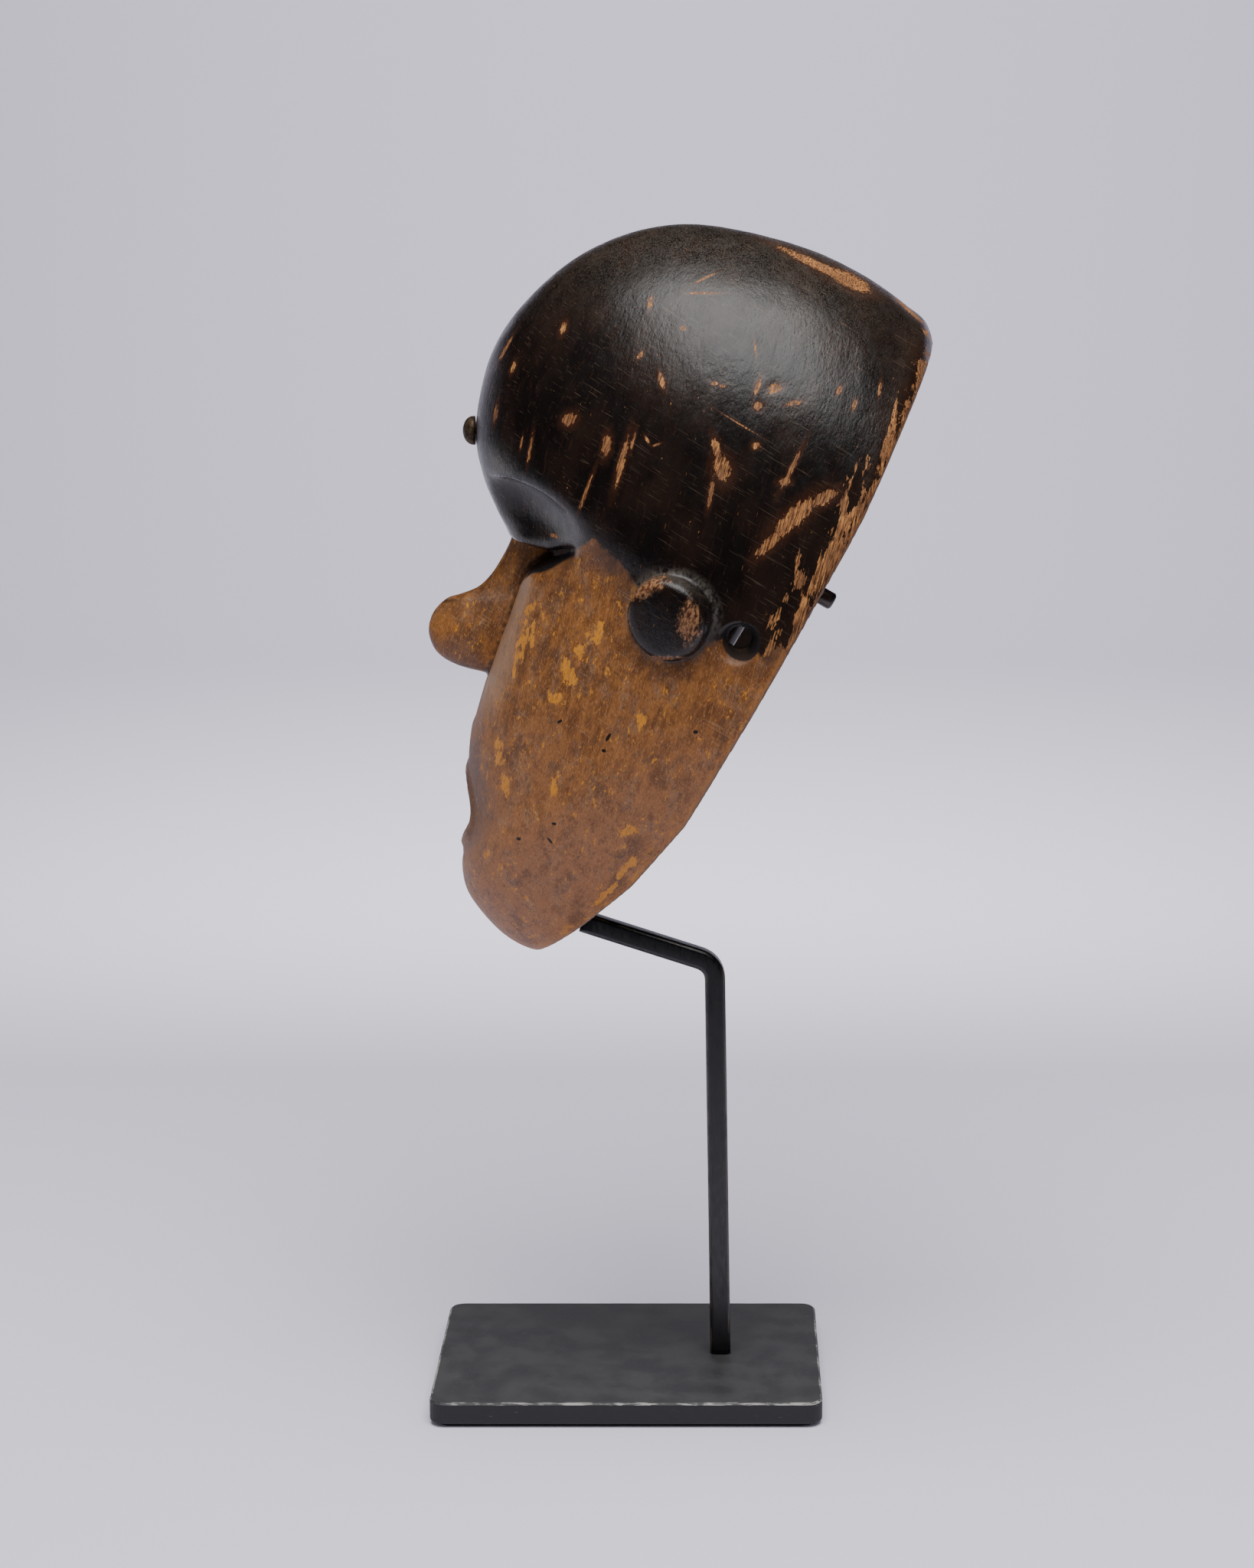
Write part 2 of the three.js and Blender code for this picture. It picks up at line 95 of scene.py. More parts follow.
# Ears, the holes behind them, mouth and lips
EAR = {
    "x": 98.6, "y": 18.3, "z": 370.2, "radius": 17.8, "height": 9.6, "root": 8, "edge": 3.8,
    "dome": 1.0,
}
EAR_HOLE = {
    "y": 50.6, "z": 361.6, "radius": 7.3, "mouth": 9.0, "flare": 2.2, "lip": 0.6, "inward": 26,
    "taper": 2.9, "taper_from": 1.5, "taper_to": 8.0,
}
EAR_TURN = math.radians(23)
EAR_DROP = math.radians(9)
EAR_AXIS = (
    math.cos(EAR_TURN) * math.cos(EAR_DROP), -math.sin(EAR_TURN) * math.cos(EAR_DROP),
    -math.sin(EAR_DROP),
)
MOUTH = {"z": 274, "half_width": 20, "half_height": 13.6, "back": -40}
LIP = {"radius": 4.2, "offset": 0.8, "sunk": 3.0, "lower": 0.7, "fuller": 0.5}
TACK_Z = 441.5

# Softness of the carved edges and joins
SOFT = {
    "rim": 1.3, "eye": 1.4, "flat": 5.5, "sockets": 7.5, "nose": 0.9, "lips": 1.6, "ears": 1.0,
    "mouth": 0.9, "ear_holes": 0.9,
}

# Boxes that hold the added and cut forms, as least and greatest |x|, y and z
BOXES = {
    "sockets": ((-1, -80, 375), (110, 20, 425)), "nose": ((-1, -100, 322), (26, -30, 410)),
    "lips": ((-1, -90, 246), (36, -44, 302)), "mouth": ((-1, -110, 250), (36, -30, 300)),
    "ears": ((60, -15, 335), (125, 52, 405)), "ear_holes": ((50, 20, 340), (125, 75, 385)),
}
# Least slopes and greatest distances, which keep the distances sound far from a surface
HEAD_SLOPE, HEAD_REACH = 0.004, (-40, 60)
NOSE_SLOPE, NOSE_REACH = 0.02, (-20, 40)
NOSE_STEP = 0.6
SETTLE_SLOPES = (0.5, 2)
# The face's front is looked for between these places, by halving
FRONT_FROM, FRONT_TO, FRONT_HALVINGS = -110.0, 40.0, 24

# Spacing of the mesh: fine around the face's carving, coarser elsewhere
FINE, COARSE, FADE = 1.6, 2.7, 20
# For each axis: from, to, fine from, fine to
GRID = ((-110, 110, -42, 42), (-94, 140, -94, 30), (202, 535, 325, 412))


def smooth_ramp(value, low, high):
    t = np.clip((value - low) / (high - low), 0, 1)
    return t * t * (3 - 2 * t)


def smooth_curve(points, is_closed=True, steps=24):
    """Centripetal Catmull-Rom curve through a run of points."""
    points = np.array(points, float)
    if is_closed:
        points = np.vstack([points[-1:], points, points[:2]])
    else:
        points = np.vstack([2 * points[:1] - points[1:2], points, 2 * points[-1:] - points[-2:-1]])
    runs = []
    for p0, p1, p2, p3 in zip(points, points[1:], points[2:], points[3:]):
        d1, d2, d3 = (math.sqrt(np.linalg.norm(b - a)) for a, b in ((p0, p1), (p1, p2), (p2, p3)))
        m1 = ((p1 - p0) / d1 - (p2 - p0) / (d1 + d2) + (p2 - p1) / d2) * d2
        m2 = ((p2 - p1) / d2 - (p3 - p1) / (d2 + d3) + (p3 - p2) / d3) * d2
        t = np.arange(steps)[:, None] / steps
        runs.append((2 * t**3 - 3 * t**2 + 1) * p1 + (t**3 - 2 * t**2 + t) * m1
                    + (3 * t**2 - 2 * t**3) * p2 + (t**3 - t**2) * m2)
    if not is_closed:
        runs.append(points[-2:-1])
    return np.vstack(runs)


def polar_table(curve):
    """Radius by angle around the hub, repeated over three turns."""
    y, z = curve[:, 0] - HUB_Y, curve[:, 1] - HUB_Z
    angle = np.arctan2(z, y)
    order = np.argsort(angle)
    angles = np.concatenate([angle[order] + turn * 2 * math.pi for turn in (-1, 0, 1)])
    return angles, np.tile(np.hypot(y, z)[order], 3)


PROFILE_ANGLES, PROFILE_RADII = polar_table(smooth_curve(PROFILE))
PROFILE_SLOPES = np.gradient(PROFILE_RADII, PROFILE_ANGLES)
RIM_LINE = np.array(sorted(RIM, key=lambda p: p[1]), float)
NOSE_LINE = smooth_curve(NOSE, is_closed=False)


def section_at(angle):
    degrees = np.degrees(angle) % 360
    degrees = np.where(degrees < SECTION[0, 0], degrees + 360, degrees)
    i = np.clip(np.searchsorted(SECTION[:, 0], degrees, side="right") - 1, 0, len(SECTION) - 2)
    part = smooth_ramp(degrees, SECTION[i, 0], SECTION[i + 1, 0])
    return [SECTION[i, k] + (SECTION[i + 1, k] - SECTION[i, k]) * part for k in (1, 2, 3)]


# Signed distances, negative inside

def union(a, b, soft):
    h = np.maximum(soft - np.abs(a - b), 0) / soft
    return np.minimum(a, b) - h * h * soft / 4


def cut(a, b, soft):
    return -union(-a, b, soft)


def head(x, y, z):
    """Distances to the outside of the head and to its hollow."""
    dy, dz = y - HUB_Y, z - HUB_Z
    angle, reach = np.arctan2(dz, dy), np.hypot(dy, dz) + TINY
    across, along, wall = section_at(angle)
    radius = np.interp(angle, PROFILE_ANGLES, PROFILE_RADII)
    slope = np.interp(angle, PROFILE_ANGLES, PROFILE_SLOPES)
    found = []
    for half, edge in ((HALF_WIDTH, radius), (HALF_WIDTH - SIDE_WALL, radius - wall)):
        side = np.abs(x) / half + TINY
        part = reach / edge
        value = side**across + part**along - 1
        steep_x = across / half * side ** (across - 1)
        steep_r = along / edge * part ** (along - 1)
        steep = np.sqrt(steep_x**2 + steep_r**2 * (1 + (part * slope / reach) ** 2))
        found.append(np.clip(value / np.maximum(steep, HEAD_SLOPE), *HEAD_REACH))
    return found


def polygon(y, z, corners):
    """Distance to a polygon in the side view."""
    corners = np.array(corners, float)
    best = np.full(y.shape, 1e9)
    inside = np.zeros(y.shape, bool)
    for (ay, az), (by, bz) in zip(corners, np.roll(corners, -1, axis=0)):
        ey, ez = by - ay, bz - az
        t = np.clip(((y - ay) * ey + (z - az) * ez) / (ey * ey + ez * ez), 0, 1)
        best = np.minimum(best, np.hypot(y - ay - t * ey, z - az - t * ez))
        crosses = (az > z) != (bz > z)
        inside ^= crosses & (y < ey * (z - az) / (ez or TINY) + ay)
    return np.where(inside, -best, best)


def eye_wedge(y, z):
    return polygon(y, z, [EYE_CORNER, *EYE_BROW, *EYE_LID])


def face_flat(y, z):
    front = [(FACE_FLAT_CLEAR, FACE_FLAT[-1][1]), (FACE_FLAT_CLEAR, FACE_FLAT[0][1])]
    return polygon(y, z, FACE_FLAT + front)


def sockets(x, y, z):
    """Both sockets: turned ellipsoids, as far down as the lid."""
    along, deep, high, top = (SOCKET[key] for key in ("along", "deep", "high", "top"))
    dx, dy, dz = np.abs(x) - SOCKET["x"], y - SOCKET["y"], z - SOCKET["z"]
    c, s = math.cos(SOCKET_TURN), math.sin(SOCKET_TURN)
    run = dx * c + dy * s
    ex, ey, ez = run / along, (-dx * s + dy * c) / deep, (dz + SOCKET["fall"] * run) / high
    scaled = np.sqrt(ex**2 + ey**2 + ez**2) + TINY
    steep = np.sqrt((ex / along) ** 2 + (ey / deep) ** 2 + (ez / high) ** 2) + TINY
    upper = [LID_END, (SOCKET["back"], top), (EYE_LID[0][0], top)]
    return np.maximum(scaled * (scaled - 1) / steep, polygon(y, z, [*EYE_LID, EYE_CORNER, *upper]))


def slope_of(field, points, step=0.3):
    x, y, z = points.T
    return np.stack([
        field(x + step, y, z) - field(x - step, y, z),
        field(x, y + step, z) - field(x, y - step, z),
        field(x, y, z + step) - field(x, y, z - step),
    ], axis=1) / (2 * step)


def nose(x, y, z):
    def value(px, py, pz):
        front = np.interp(pz, NOSE_LINE[:, 0], NOSE_LINE[:, 1])
        half = np.interp(pz, NOSE_LINE[:, 0], NOSE_LINE[:, 2])
        depth = np.where(py < NOSE_BACK, NOSE_BACK - front, NOSE_SHOULDER)
        return (px / half) ** 2 + (np.abs(py - NOSE_BACK) / depth) ** (2 / NOSE_ROUND) - 1
    slope = slope_of(value, np.stack([x, y, z], axis=1), NOSE_STEP)
    steep = np.linalg.norm(slope, axis=1)
    d = np.clip(value(x, y, z) / np.maximum(steep, NOSE_SLOPE), *NOSE_REACH)
    return np.maximum(np.maximum(d, NOSE[0, 0] - z), z - NOSE[-1, 0])


def along_ear_axis(x, y, z, spot):
    """Radius and height around the slanting axis of an ear or ear hole, on either side."""
    dx, dy, dz = np.abs(x) - spot["x"], y - spot["y"], z - spot["z"]
    height = dx * EAR_AXIS[0] + dy * EAR_AXIS[1] + dz * EAR_AXIS[2]
    radius = np.sqrt(np.maximum((dx**2 + dy**2 + dz**2) - height**2, 0))
    return radius, height


def ears(x, y, z):
    r, h = along_ear_axis(x, y, z, EAR)
    bottom, edge = -EAR["height"] - EAR["root"], EAR["edge"]
    dome = EAR["dome"] * np.clip(r / EAR["radius"], 0, 1) ** 2
    out_r = r - (EAR["radius"] - edge)
    out_h = np.abs(h - bottom / 2 + dome / 2) - (-bottom / 2 - edge - dome / 2)
    outside = np.hypot(np.maximum(out_r, 0), np.maximum(out_h, 0))
    return outside + np.minimum(np.maximum(out_r, out_h), 0) - edge


def ear_holes(x, y, z):
    """Bores that flare at the mouth and narrow inwards."""
    _, h = along_ear_axis(x, y, z, EAR_HOLE)
    wider = EAR_HOLE["mouth"] - EAR_HOLE["radius"]
    flare = smooth_ramp(h, -EAR_HOLE["flare"], EAR_HOLE["lip"]) * wider
    narrow = smooth_ramp(-h, EAR_HOLE["taper_from"], EAR_HOLE["taper_to"]) * EAR_HOLE["taper"]
    r, _ = along_ear_axis(x, y + narrow, z, EAR_HOLE)
    return np.maximum(r - EAR_HOLE["radius"] - flare + narrow, -EAR_HOLE["inward"] - h)


def half_width_at(y, z):
    """Half width of the head at a place in the side view."""
    dy, dz = y - HUB_Y, z - HUB_Z
    angle = np.arctan2(dz, dy)
    across, along, _ = section_at(angle)
    part = np.hypot(dy, dz) / np.interp(angle, PROFILE_ANGLES, PROFILE_RADII)
    return HALF_WIDTH * np.maximum(0, 1 - part**along) ** (1 / across)


def front_at(x, z):
    """Front surface of the face at a place seen from the front."""
    near = np.full(np.shape(x), FRONT_FROM)
    far = np.full(np.shape(x), FRONT_TO)
    for _ in range(FRONT_HALVINGS):
        middle = (near + far) / 2
        inside = half_width_at(middle, z) > np.abs(x)
        far = np.where(inside, middle, far)
        near = np.where(inside, near, middle)
    return far


EAR_HOLE["x"] = float(half_width_at(np.array([EAR_HOLE["y"]]), np.array([EAR_HOLE["z"]]))[0])


def lips(x, y, z):
    grow = LIP["radius"] * LIP["offset"]
    half_x, half_z = MOUTH["half_width"] + grow, MOUTH["half_height"] + grow
    turn = np.arctan2((z - MOUTH["z"]) / half_z, x / half_x)
    lower = LIP["lower"] * np.maximum(0, -np.sin(turn))
    ring_x = half_x * np.cos(turn)
    ring_z = MOUTH["z"] + half_z * np.sin(turn)
    base = front_at(ring_x, ring_z) + LIP["sunk"] - lower
    aside = np.hypot(x - ring_x, z - ring_z)
    return np.hypot(aside, y - base) - LIP["radius"] - lower * LIP["fuller"]


def mouth_hole(x, y, z):
    ex, ez = x / MOUTH["half_width"], (z - MOUTH["z"]) / MOUTH["half_height"]
    scaled = np.hypot(ex, ez) + TINY
    steep = np.hypot(ex / MOUTH["half_width"], ez / MOUTH["half_height"]) + TINY
    return np.maximum(scaled * (scaled - 1) / steep, y - MOUTH["back"])


def back_cut(x, y, z):
    """Negative behind the back's cut."""
    edge = np.interp(z, RIM_LINE[:, 1], RIM_LINE[:, 0])
    slope = np.interp(z, RIM_LINE[:, 1], np.gradient(RIM_LINE[:, 0], RIM_LINE[:, 1]))
    return (edge + CUT_SKEW * (CUT_SKEW_FROM - x) - y) / np.sqrt(1 + slope**2)


def carving(x, y, z):
    """Signed distance to the whole mask."""
    def work(join, name, form):
        """Adds or cuts a form inside its own box."""
        i = np.ones(x.shape, bool)
        for value, least, greatest in zip((np.abs(x), y, z), *BOXES[name]):
            i &= (value > least) & (value < greatest)
        d[i] = join(d[i], form(x[i], y[i], z[i]), SOFT[name])

    d, hollow = head(x, y, z)
    face = y < 0
    d[face] = cut(d[face], eye_wedge(y[face], z[face]), SOFT["eye"])
    d[face] = cut(d[face], face_flat(y[face], z[face]), SOFT["flat"])
    work(cut, "sockets", sockets)
    work(union, "nose", nose)
    work(union, "lips", lips)
    work(union, "ears", ears)
    d = cut(d, hollow, SOFT["rim"])
    d = cut(d, back_cut(x, y, z), SOFT["rim"])
    work(cut, "mouth", mouth_hole)
    work(cut, "ear_holes", ear_holes)
    return d


# Mesh from the distances

def spacing(low, high, fine_low, fine_high):
    """Grid lines from low to high, closer together from fine_low to fine_high."""
    places = [low]
    while places[-1] < high:
        p = places[-1]
        away = max(fine_low - p, p - fine_high, 0)
        places.append(p + FINE + (COARSE - FINE) * min(away / FADE, 1))
    return np.array(places)


def surface_net(field, gx, gy, gz):
    """Quads on the zero level of a field, one vertex in each cell that it crosses."""
    values = np.empty((len(gx), len(gy), len(gz)), np.float32)
    yy, zz = np.meshgrid(gy, gz, indexing="ij")
    for i, x in enumerate(gx):
        values[i] = field(np.full(yy.size, x), yy.ravel(), zz.ravel()).reshape(yy.shape)
    inside = values < 0
    grid = (gx, gy, gz)
    shape = tuple(n - 1 for n in values.shape)
    total = np.zeros(shape + (3,), np.float32)
    count = np.zeros(shape, np.int16)
    faces_by_axis = []
    for axis in range(3):
        near = [slice(None)] * 3
        far = [slice(None)] * 3
        near[axis], far[axis] = slice(0, -1), slice(1, None)
        a, b = values[tuple(near)], values[tuple(far)]
        crosses = inside[tuple(near)] != inside[tuple(far)]
        at = np.argwhere(crosses)
        va, vb = a[crosses], b[crosses]
        part = va / (va - vb)
        spot = np.stack([grid[k][at[:, k]] for k in range(3)], axis=1)
        spot[:, axis] += part * (grid[axis][at[:, axis] + 1] - grid[axis][at[:, axis]])
        u, v = [k for k in range(3) if k != axis]
        cells = []
        for du, dv in ((0, 0), (1, 0), (1, 1), (0, 1)):
            cell = at.copy()
            cell[:, u] -= du
            cell[:, v] -= dv
            np.add.at(total, tuple(cell.T), spot)
            np.add.at(count, tuple(cell.T), 1)
            cells.append(cell)
        flip = (va < 0) ^ (axis == 1)
        faces_by_axis.append((cells, flip))
    used = np.argwhere(count > 0)
    number = np.full(shape, -1, np.int64)
    number[tuple(used.T)] = np.arange(len(used))
    points = total[tuple(used.T)] / count[tuple(used.T)][:, None]
    quads = []
    for cells, flip in faces_by_axis:
        quad = np.stack([number[tuple(c.T)] for c in cells], axis=1)
        quad[~flip] = quad[~flip][:, ::-1]
        quads.append(quad)
    return points.astype(float), np.vstack(quads)


def settle(field, points, quads, rounds=3, evening=0.5, farthest=1.2):
    """Evens the mesh out along the surface and puts its points exactly on it."""
    edges = np.vstack([quads[:, [k, (k + 1) % 4]] for k in range(4)])
    degree = np.bincount(edges.ravel(), minlength=len(points))[:, None]
    for turn in range(rounds):
        normal = slope_of(field, points)
        size = np.linalg.norm(normal, axis=1, keepdims=True)
        normal /= np.maximum(size, TINY)
        if turn < rounds - 1:
            total = np.zeros_like(points)
            np.add.at(total, edges[:, 0], points[edges[:, 1]])
            np.add.at(total, edges[:, 1], points[edges[:, 0]])
            shift = total / degree - points
            shift -= (shift * normal).sum(1, keepdims=True) * normal
            points = points + evening * shift
        step = field(*points.T)[:, None] / np.clip(size, *SETTLE_SLOPES)
        points = points - np.clip(step, -farthest, farthest) * normal
    return points


def in_scene(name, data):
    item = bpy.data.objects.new(name, data)
    bpy.context.scene.collection.objects.link(item)
    return item


def mesh_object(name, points, faces, smooth=True):
    mesh = bpy.data.meshes.new(name)
    mesh.from_pydata((np.asarray(points) * MM).tolist(), [], [list(map(int, f)) for f in faces])
    mesh.update()
    if smooth:
        mesh.polygons.foreach_set("use_smooth", [True] * len(mesh.polygons))
    return in_scene(name, mesh)


def set_attribute(piece, name, values):
    attribute = piece.data.attributes.new(name, "FLOAT", "POINT")
    attribute.data.foreach_set("value", np.asarray(values, np.float32))


# Relief and the values that the finish reads

# Lower edge of the black paint in the side view; on the nose, in front of NOSE_FROM, it is level
PAINT_LINE = [
    (-140, 340), (-80, 367), (-46, 381), (-38, 385.3), (-30.3, 389.5), (-25, 392.9),
    (-18.7, 396.9), (-11, 403), (-2, 396.5), (3.6, 390), (9, 383), (22, 372), (37, 363),
    (44, 362), (58, 356), (69, 360), (160, 366),
]
PAINT_ON_NOSE = 395.0
NOSE_EDGE = (10.0, 14.0)
NOSE_FROM = -30

# Marks as (y, z, half length, half width, turn in degrees from +Y towards +Z)
LEFT_BARE = [
    (86, 513.5, 18, 1.5, -25), (98, 508, 9, 2.6, -25), (124, 495, 8, 0.7, -42),
    (36, 504, 6, 0.45, 0), (36, 510, 5, 0.4, 25), (13, 500, 2.4, 0.9, 80), (-24, 489, 2.6, 1.1, 70),
    (-46, 472, 2.4, 0.8, 70), (9, 479, 1.8, 0.8, 60), (18, 469, 3, 1.1, 105), (-21, 452, 2.9, 2.3, 30),
    (-5, 442, 4.2, 1.7, 80), (1.5, 436, 9.6, 1.3, 75), (6, 444, 4, 0.6, 75), (-14, 422, 8.6, 0.6, 69),
    (-38, 439, 5.4, 0.6, 79), (-42, 441, 2.5, 0.4, 79), (12, 445, 1.8, 0.5, 120),
    (16, 443, 1.6, 0.4, 20),
    (43, 434, 5.2, 3.1, 100), (41, 441, 5, 1.4, 105), (38.5, 424, 5.5, 0.9, 80), (72, 434, 8, 0.9, 63),
    (69, 428.5, 2.2, 1.4, 10), (73, 414, 11, 3.2, 42), (85, 421.5, 6, 2.3, 28), (63, 403.5, 7, 2, 45),
    (58, 467, 3.2, 1, 70), (65, 466, 2.6, 1.7, 20), (73, 460, 3, 0.9, 10), (58, 459, 1.8, 1.6, 0),
    (57, 443, 1.6, 1.3, 0), (57, 482, 3.4, 0.35, 97), (109, 465, 2.8, 0.6, 80), (40, 468, 1.3, 0.7, 0),
    (43.5, 467, 1.2, 0.6, 0), (-54, 452, 4, 0.8, 80), (-50, 479, 6, 0.5, 60), (92, 465, 1.8, 1, 60),
    (98, 459, 2, 0.8, 70), (50, 452, 7, 0.3, -30), (27, 490, 1.2, 0.8, 0), (-28.5, 401, 1.9, 0.8, -10),
]
RIGHT_BARE = [
    (20, 470, 6, 1.4, 80), (60, 440, 9, 2.2, 35), (-30, 455, 4, 1, 75), (88, 470, 5, 1.3, 60),
    (45, 500, 8, 0.8, 10), (5, 425, 7, 0.7, 70), (75, 405, 8, 1.8, 55),
]
ORANGE_PATCHES = [
    (-39, 370, 3.4, 1.7, 70), (-41, 357, 5.2, 2.8, 75), (-44, 349, 3.2, 1.9, 75), (-47, 341, 3, 1.2, 75),
    (-22, 345, 5.4, 2.9, 100), (-9, 363, 5, 2, 70), (-17, 355, 3.4, 1.8, 60), (-27, 334, 3, 2.2, 30),
    (9, 327, 3.4, 1.8, 80), (-54, 310, 2.6, 1.5, 80), (-54, 304, 3.2, 1.8, 80),
    (-51, 292, 4.2, 1.8, 100), (-29, 295, 3.6, 1.2, 90), (3, 277, 4, 1.8, 30), (2, 259, 6, 1.5, 50),
    (-7, 246, 6, 1.3, 50), (8, 380, 6, 1.8, 50),
]
EAR_RUBS = [(29.5, 371, 7, 4, 85), (11, 384, 9, 2.4, 30), (3, 367, 7, 1.2, 95), (16, 354.5, 8, 0.9, 5)]
WORM_HOLES = [
    (-29, 279, 1.1, 0.7, 0), (-31, 271, 1.8, 0.6, 130), (-45, 270, 1, 0.8, 0), (-7, 313, 1, 0.8, 0),
    (-5, 319, 2.2, 0.7, 60), (32, 323, 1.1, 0.9, 0), (-26, 324, 1.3, 0.6, 40), (52, 487, 4.5, 0.3, -14),
    (61, 485, 2.4, 0.3, 20),
]
# Marks wider than WIDE_MARK are sunk, sloping up over MARK_EDGE and not nearer the middle than MIDDLE
WIDE_MARK = 1.2
MARK_DEPTH = 0.4
MARK_EDGE = (0.75, 1.15)
MIDDLE = 8

# Places for the finish, and the directions of the grain and of the scratches in the side view
NOSE_TIP, NOSE_LOW, MOUTH_CORNER = (14, -85, 358), (14, -76, 341), (22, -66, 280)
GRAIN, SCRATCH = (0.27, 0.963), (0.86, -0.51)

# Sizes and depths of the tool marks
TOOL_STRETCH = (1, 1, 0.6)
BROAD_SIZE, SMALL_SIZE, GOUGE_SIZE = 19, 7.5, 12
BROAD_DEPTH, SMALL_DEPTH, GOUGE_DEPTH, SMALL_GOUGE_DEPTH = 0.22, 0.16, 0.9, 0.3

# Values that the mask's points carry to its finish
STORED = ("paint", "rim", "inside", "crease", "edge", "ear_radius", "slit", "hole_radius")
# How far from a point its surroundings are felt for creases and edges
FEELER = 2.6
# Depths over which a wall of the hollow or of the eye slit begins
WALL_FROM, WALL_TO = 0.8, 2.2
SLIT_FROM, SLIT_TO = 0.8, 1.6
SLIT_EDGE = (10.5, 13)

# Numbers that scramble a noise cell's place; seeds are set this many cells apart
SEED_STEP = 31.7
HASH_PRIMES = (73856093, 19349663, 83492791)
HASH_ROUNDS = ((15, 2246822519), (13, 3266489917), (16, 668265263))


def lattice_noise(points, size, seed):
    """Smooth noise from -1 to 1 with cells of a given size."""
    cell = points / size + SEED_STEP * seed
    base = np.floor(cell).astype(np.int64)
    part = cell - base
    part = part * part * (3 - 2 * part)
    total = np.zeros(len(points))
    for corner in np.ndindex(2, 2, 2):
        key = ((base + corner) * HASH_PRIMES).sum(axis=1).astype(np.uint64)
        for shift, factor in HASH_ROUNDS:
            key = (key ^ (key >> np.uint64(shift))) * np.uint64(factor) & np.uint64(0xFFFFFFFF)
        weight = np.prod(np.where(corner, part, 1 - part), axis=1)
        total += weight * (key / 2.0**31 - 1)
    return total


def from_mark(points, mark):
    """Distance from a mark's middle, 1 on its edge."""
    y, z, half_length, half_width, turn = mark
    c, s = math.cos(math.radians(turn)), math.sin(math.radians(turn))
    dy, dz = points[:, 1] - y, points[:, 2] - z
    return np.hypot((dy * c + dz * s) / half_length, (-dy * s + dz * c) / half_width)


def mark_relief(points):
    depth = np.zeros(len(points))
    for side, marks in ((1, LEFT_BARE), (-1, RIGHT_BARE)):
        for mark in marks:
            if mark[3] > WIDE_MARK:
                reach = 1 - smooth_ramp(from_mark(points, mark), *MARK_EDGE)
                depth = np.maximum(depth, reach * (points[:, 0] * side > MIDDLE))
    return MARK_DEPTH * depth


def paint_height(points):
    """Millimetres above the edge of the black paint."""
    line = np.array(PAINT_LINE, float)
    x, y, z = points.T
    slope = np.interp(y, line[:, 0], np.gradient(line[:, 1], line[:, 0]))
    above = (z - np.interp(y, line[:, 0], line[:, 1])) / np.sqrt(1 + slope**2)
    beside = smooth_ramp(np.abs(x), *NOSE_EDGE)
    on_nose = np.where(y < NOSE_FROM, 1 - beside, 0)
    return above + on_nose * (z - PAINT_ON_NOSE - above)


def unevenness(points, inside):
    """Depth of the tool marks: shallow outside, deeper gouges in the hollow."""
    stretched = points * TOOL_STRETCH
    broad = 0.5 + 0.5 * lattice_noise(stretched, BROAD_SIZE, 1)
    small = 0.5 + 0.5 * lattice_noise(stretched, SMALL_SIZE, 2)
    outer = BROAD_DEPTH * broad + SMALL_DEPTH * small
    gouges = GOUGE_DEPTH * np.abs(lattice_noise(stretched, GOUGE_SIZE, 3)) + SMALL_GOUGE_DEPTH * small
    return outer + (gouges - outer) * inside


def carved_mask():
    points, quads = surface_net(carving, *(spacing(*limits) for limits in GRID))
    points = settle(carving, points, quads)
    normal = slope_of(carving, points)
    normal /= np.maximum(np.linalg.norm(normal, axis=1, keepdims=True), TINY)
    x, y, z = points.T
    outside, hollow = head(x, y, z)
    inside = 1 - smooth_ramp(np.abs(hollow), WALL_FROM, WALL_TO)
    crease = 1 - carving(*(points + FEELER * normal).T) / FEELER
    edge = 1 + carving(*(points - FEELER * normal).T) / FEELER
    slit = smooth_ramp(-outside, WALL_FROM, WALL_TO) * smooth_ramp(np.abs(x), *SLIT_EDGE)
    slit *= (1 - smooth_ramp(np.abs(eye_wedge(y, z)), SLIT_FROM, SLIT_TO)) * (y < 0)
    depth = unevenness(points, inside) + mark_relief(points)
    piece = mesh_object("carved_mask", points - depth[:, None] * normal, quads)
    ear_radius, hole_radius = (along_ear_axis(x, y, z, spot)[0] for spot in (EAR, EAR_HOLE))
    height, rim = paint_height(points), back_cut(x, y, z)
    values = (height, rim, inside, crease, edge, ear_radius, slit, hole_radius)
    for name, value in zip(STORED, values):
        set_attribute(piece, name, value)
    return piece


# Stand pieces as rings of points joined one to the next

FELT = {"thickness": 1.4, "inset": 3.0}
PLATE = {
    "length": 177.0, "depth": 127.0, "thickness": 10.2, "corner": 7.0, "chamfer": 0.9,
    "corner_steps": 6,
}
PLATE_BOTTOM = 1.7
# Widths of the worn bands beside the plate's chamfers
WORN_BELOW, WORN_SIDE, WORN_TOP = 0.5, 0.4, 0.5
POST = {"width": 9.4, "corner": 2.2, "corner_steps": 8, "bend": 11.0, "bend_steps": 14}
POST_LINE = [(42.6, 12.2), (40.0, 199.2), (-20.3, 219.0)]
ROD = {"radius": 4.0, "bend": 6.0, "bend_steps": 10, "chamfer": 0.9, "part_of_solid": 0.985}
ROD_LINE = [(-20.585, 219.094), (-28.9, 221.8), (64.8, 381.0), (92.8, 365.0)]
TACK = {
    "radius": 6.4, "dome": 4.6, "collar": 0.9, "shank": 1.6, "length": 9.0, "gap": 0.3,
    "top": 0.2, "steps": 8,
}
ROUND_SIDES = 20
# Greatest distance between rings on the straight runs
RING_STEP = 6


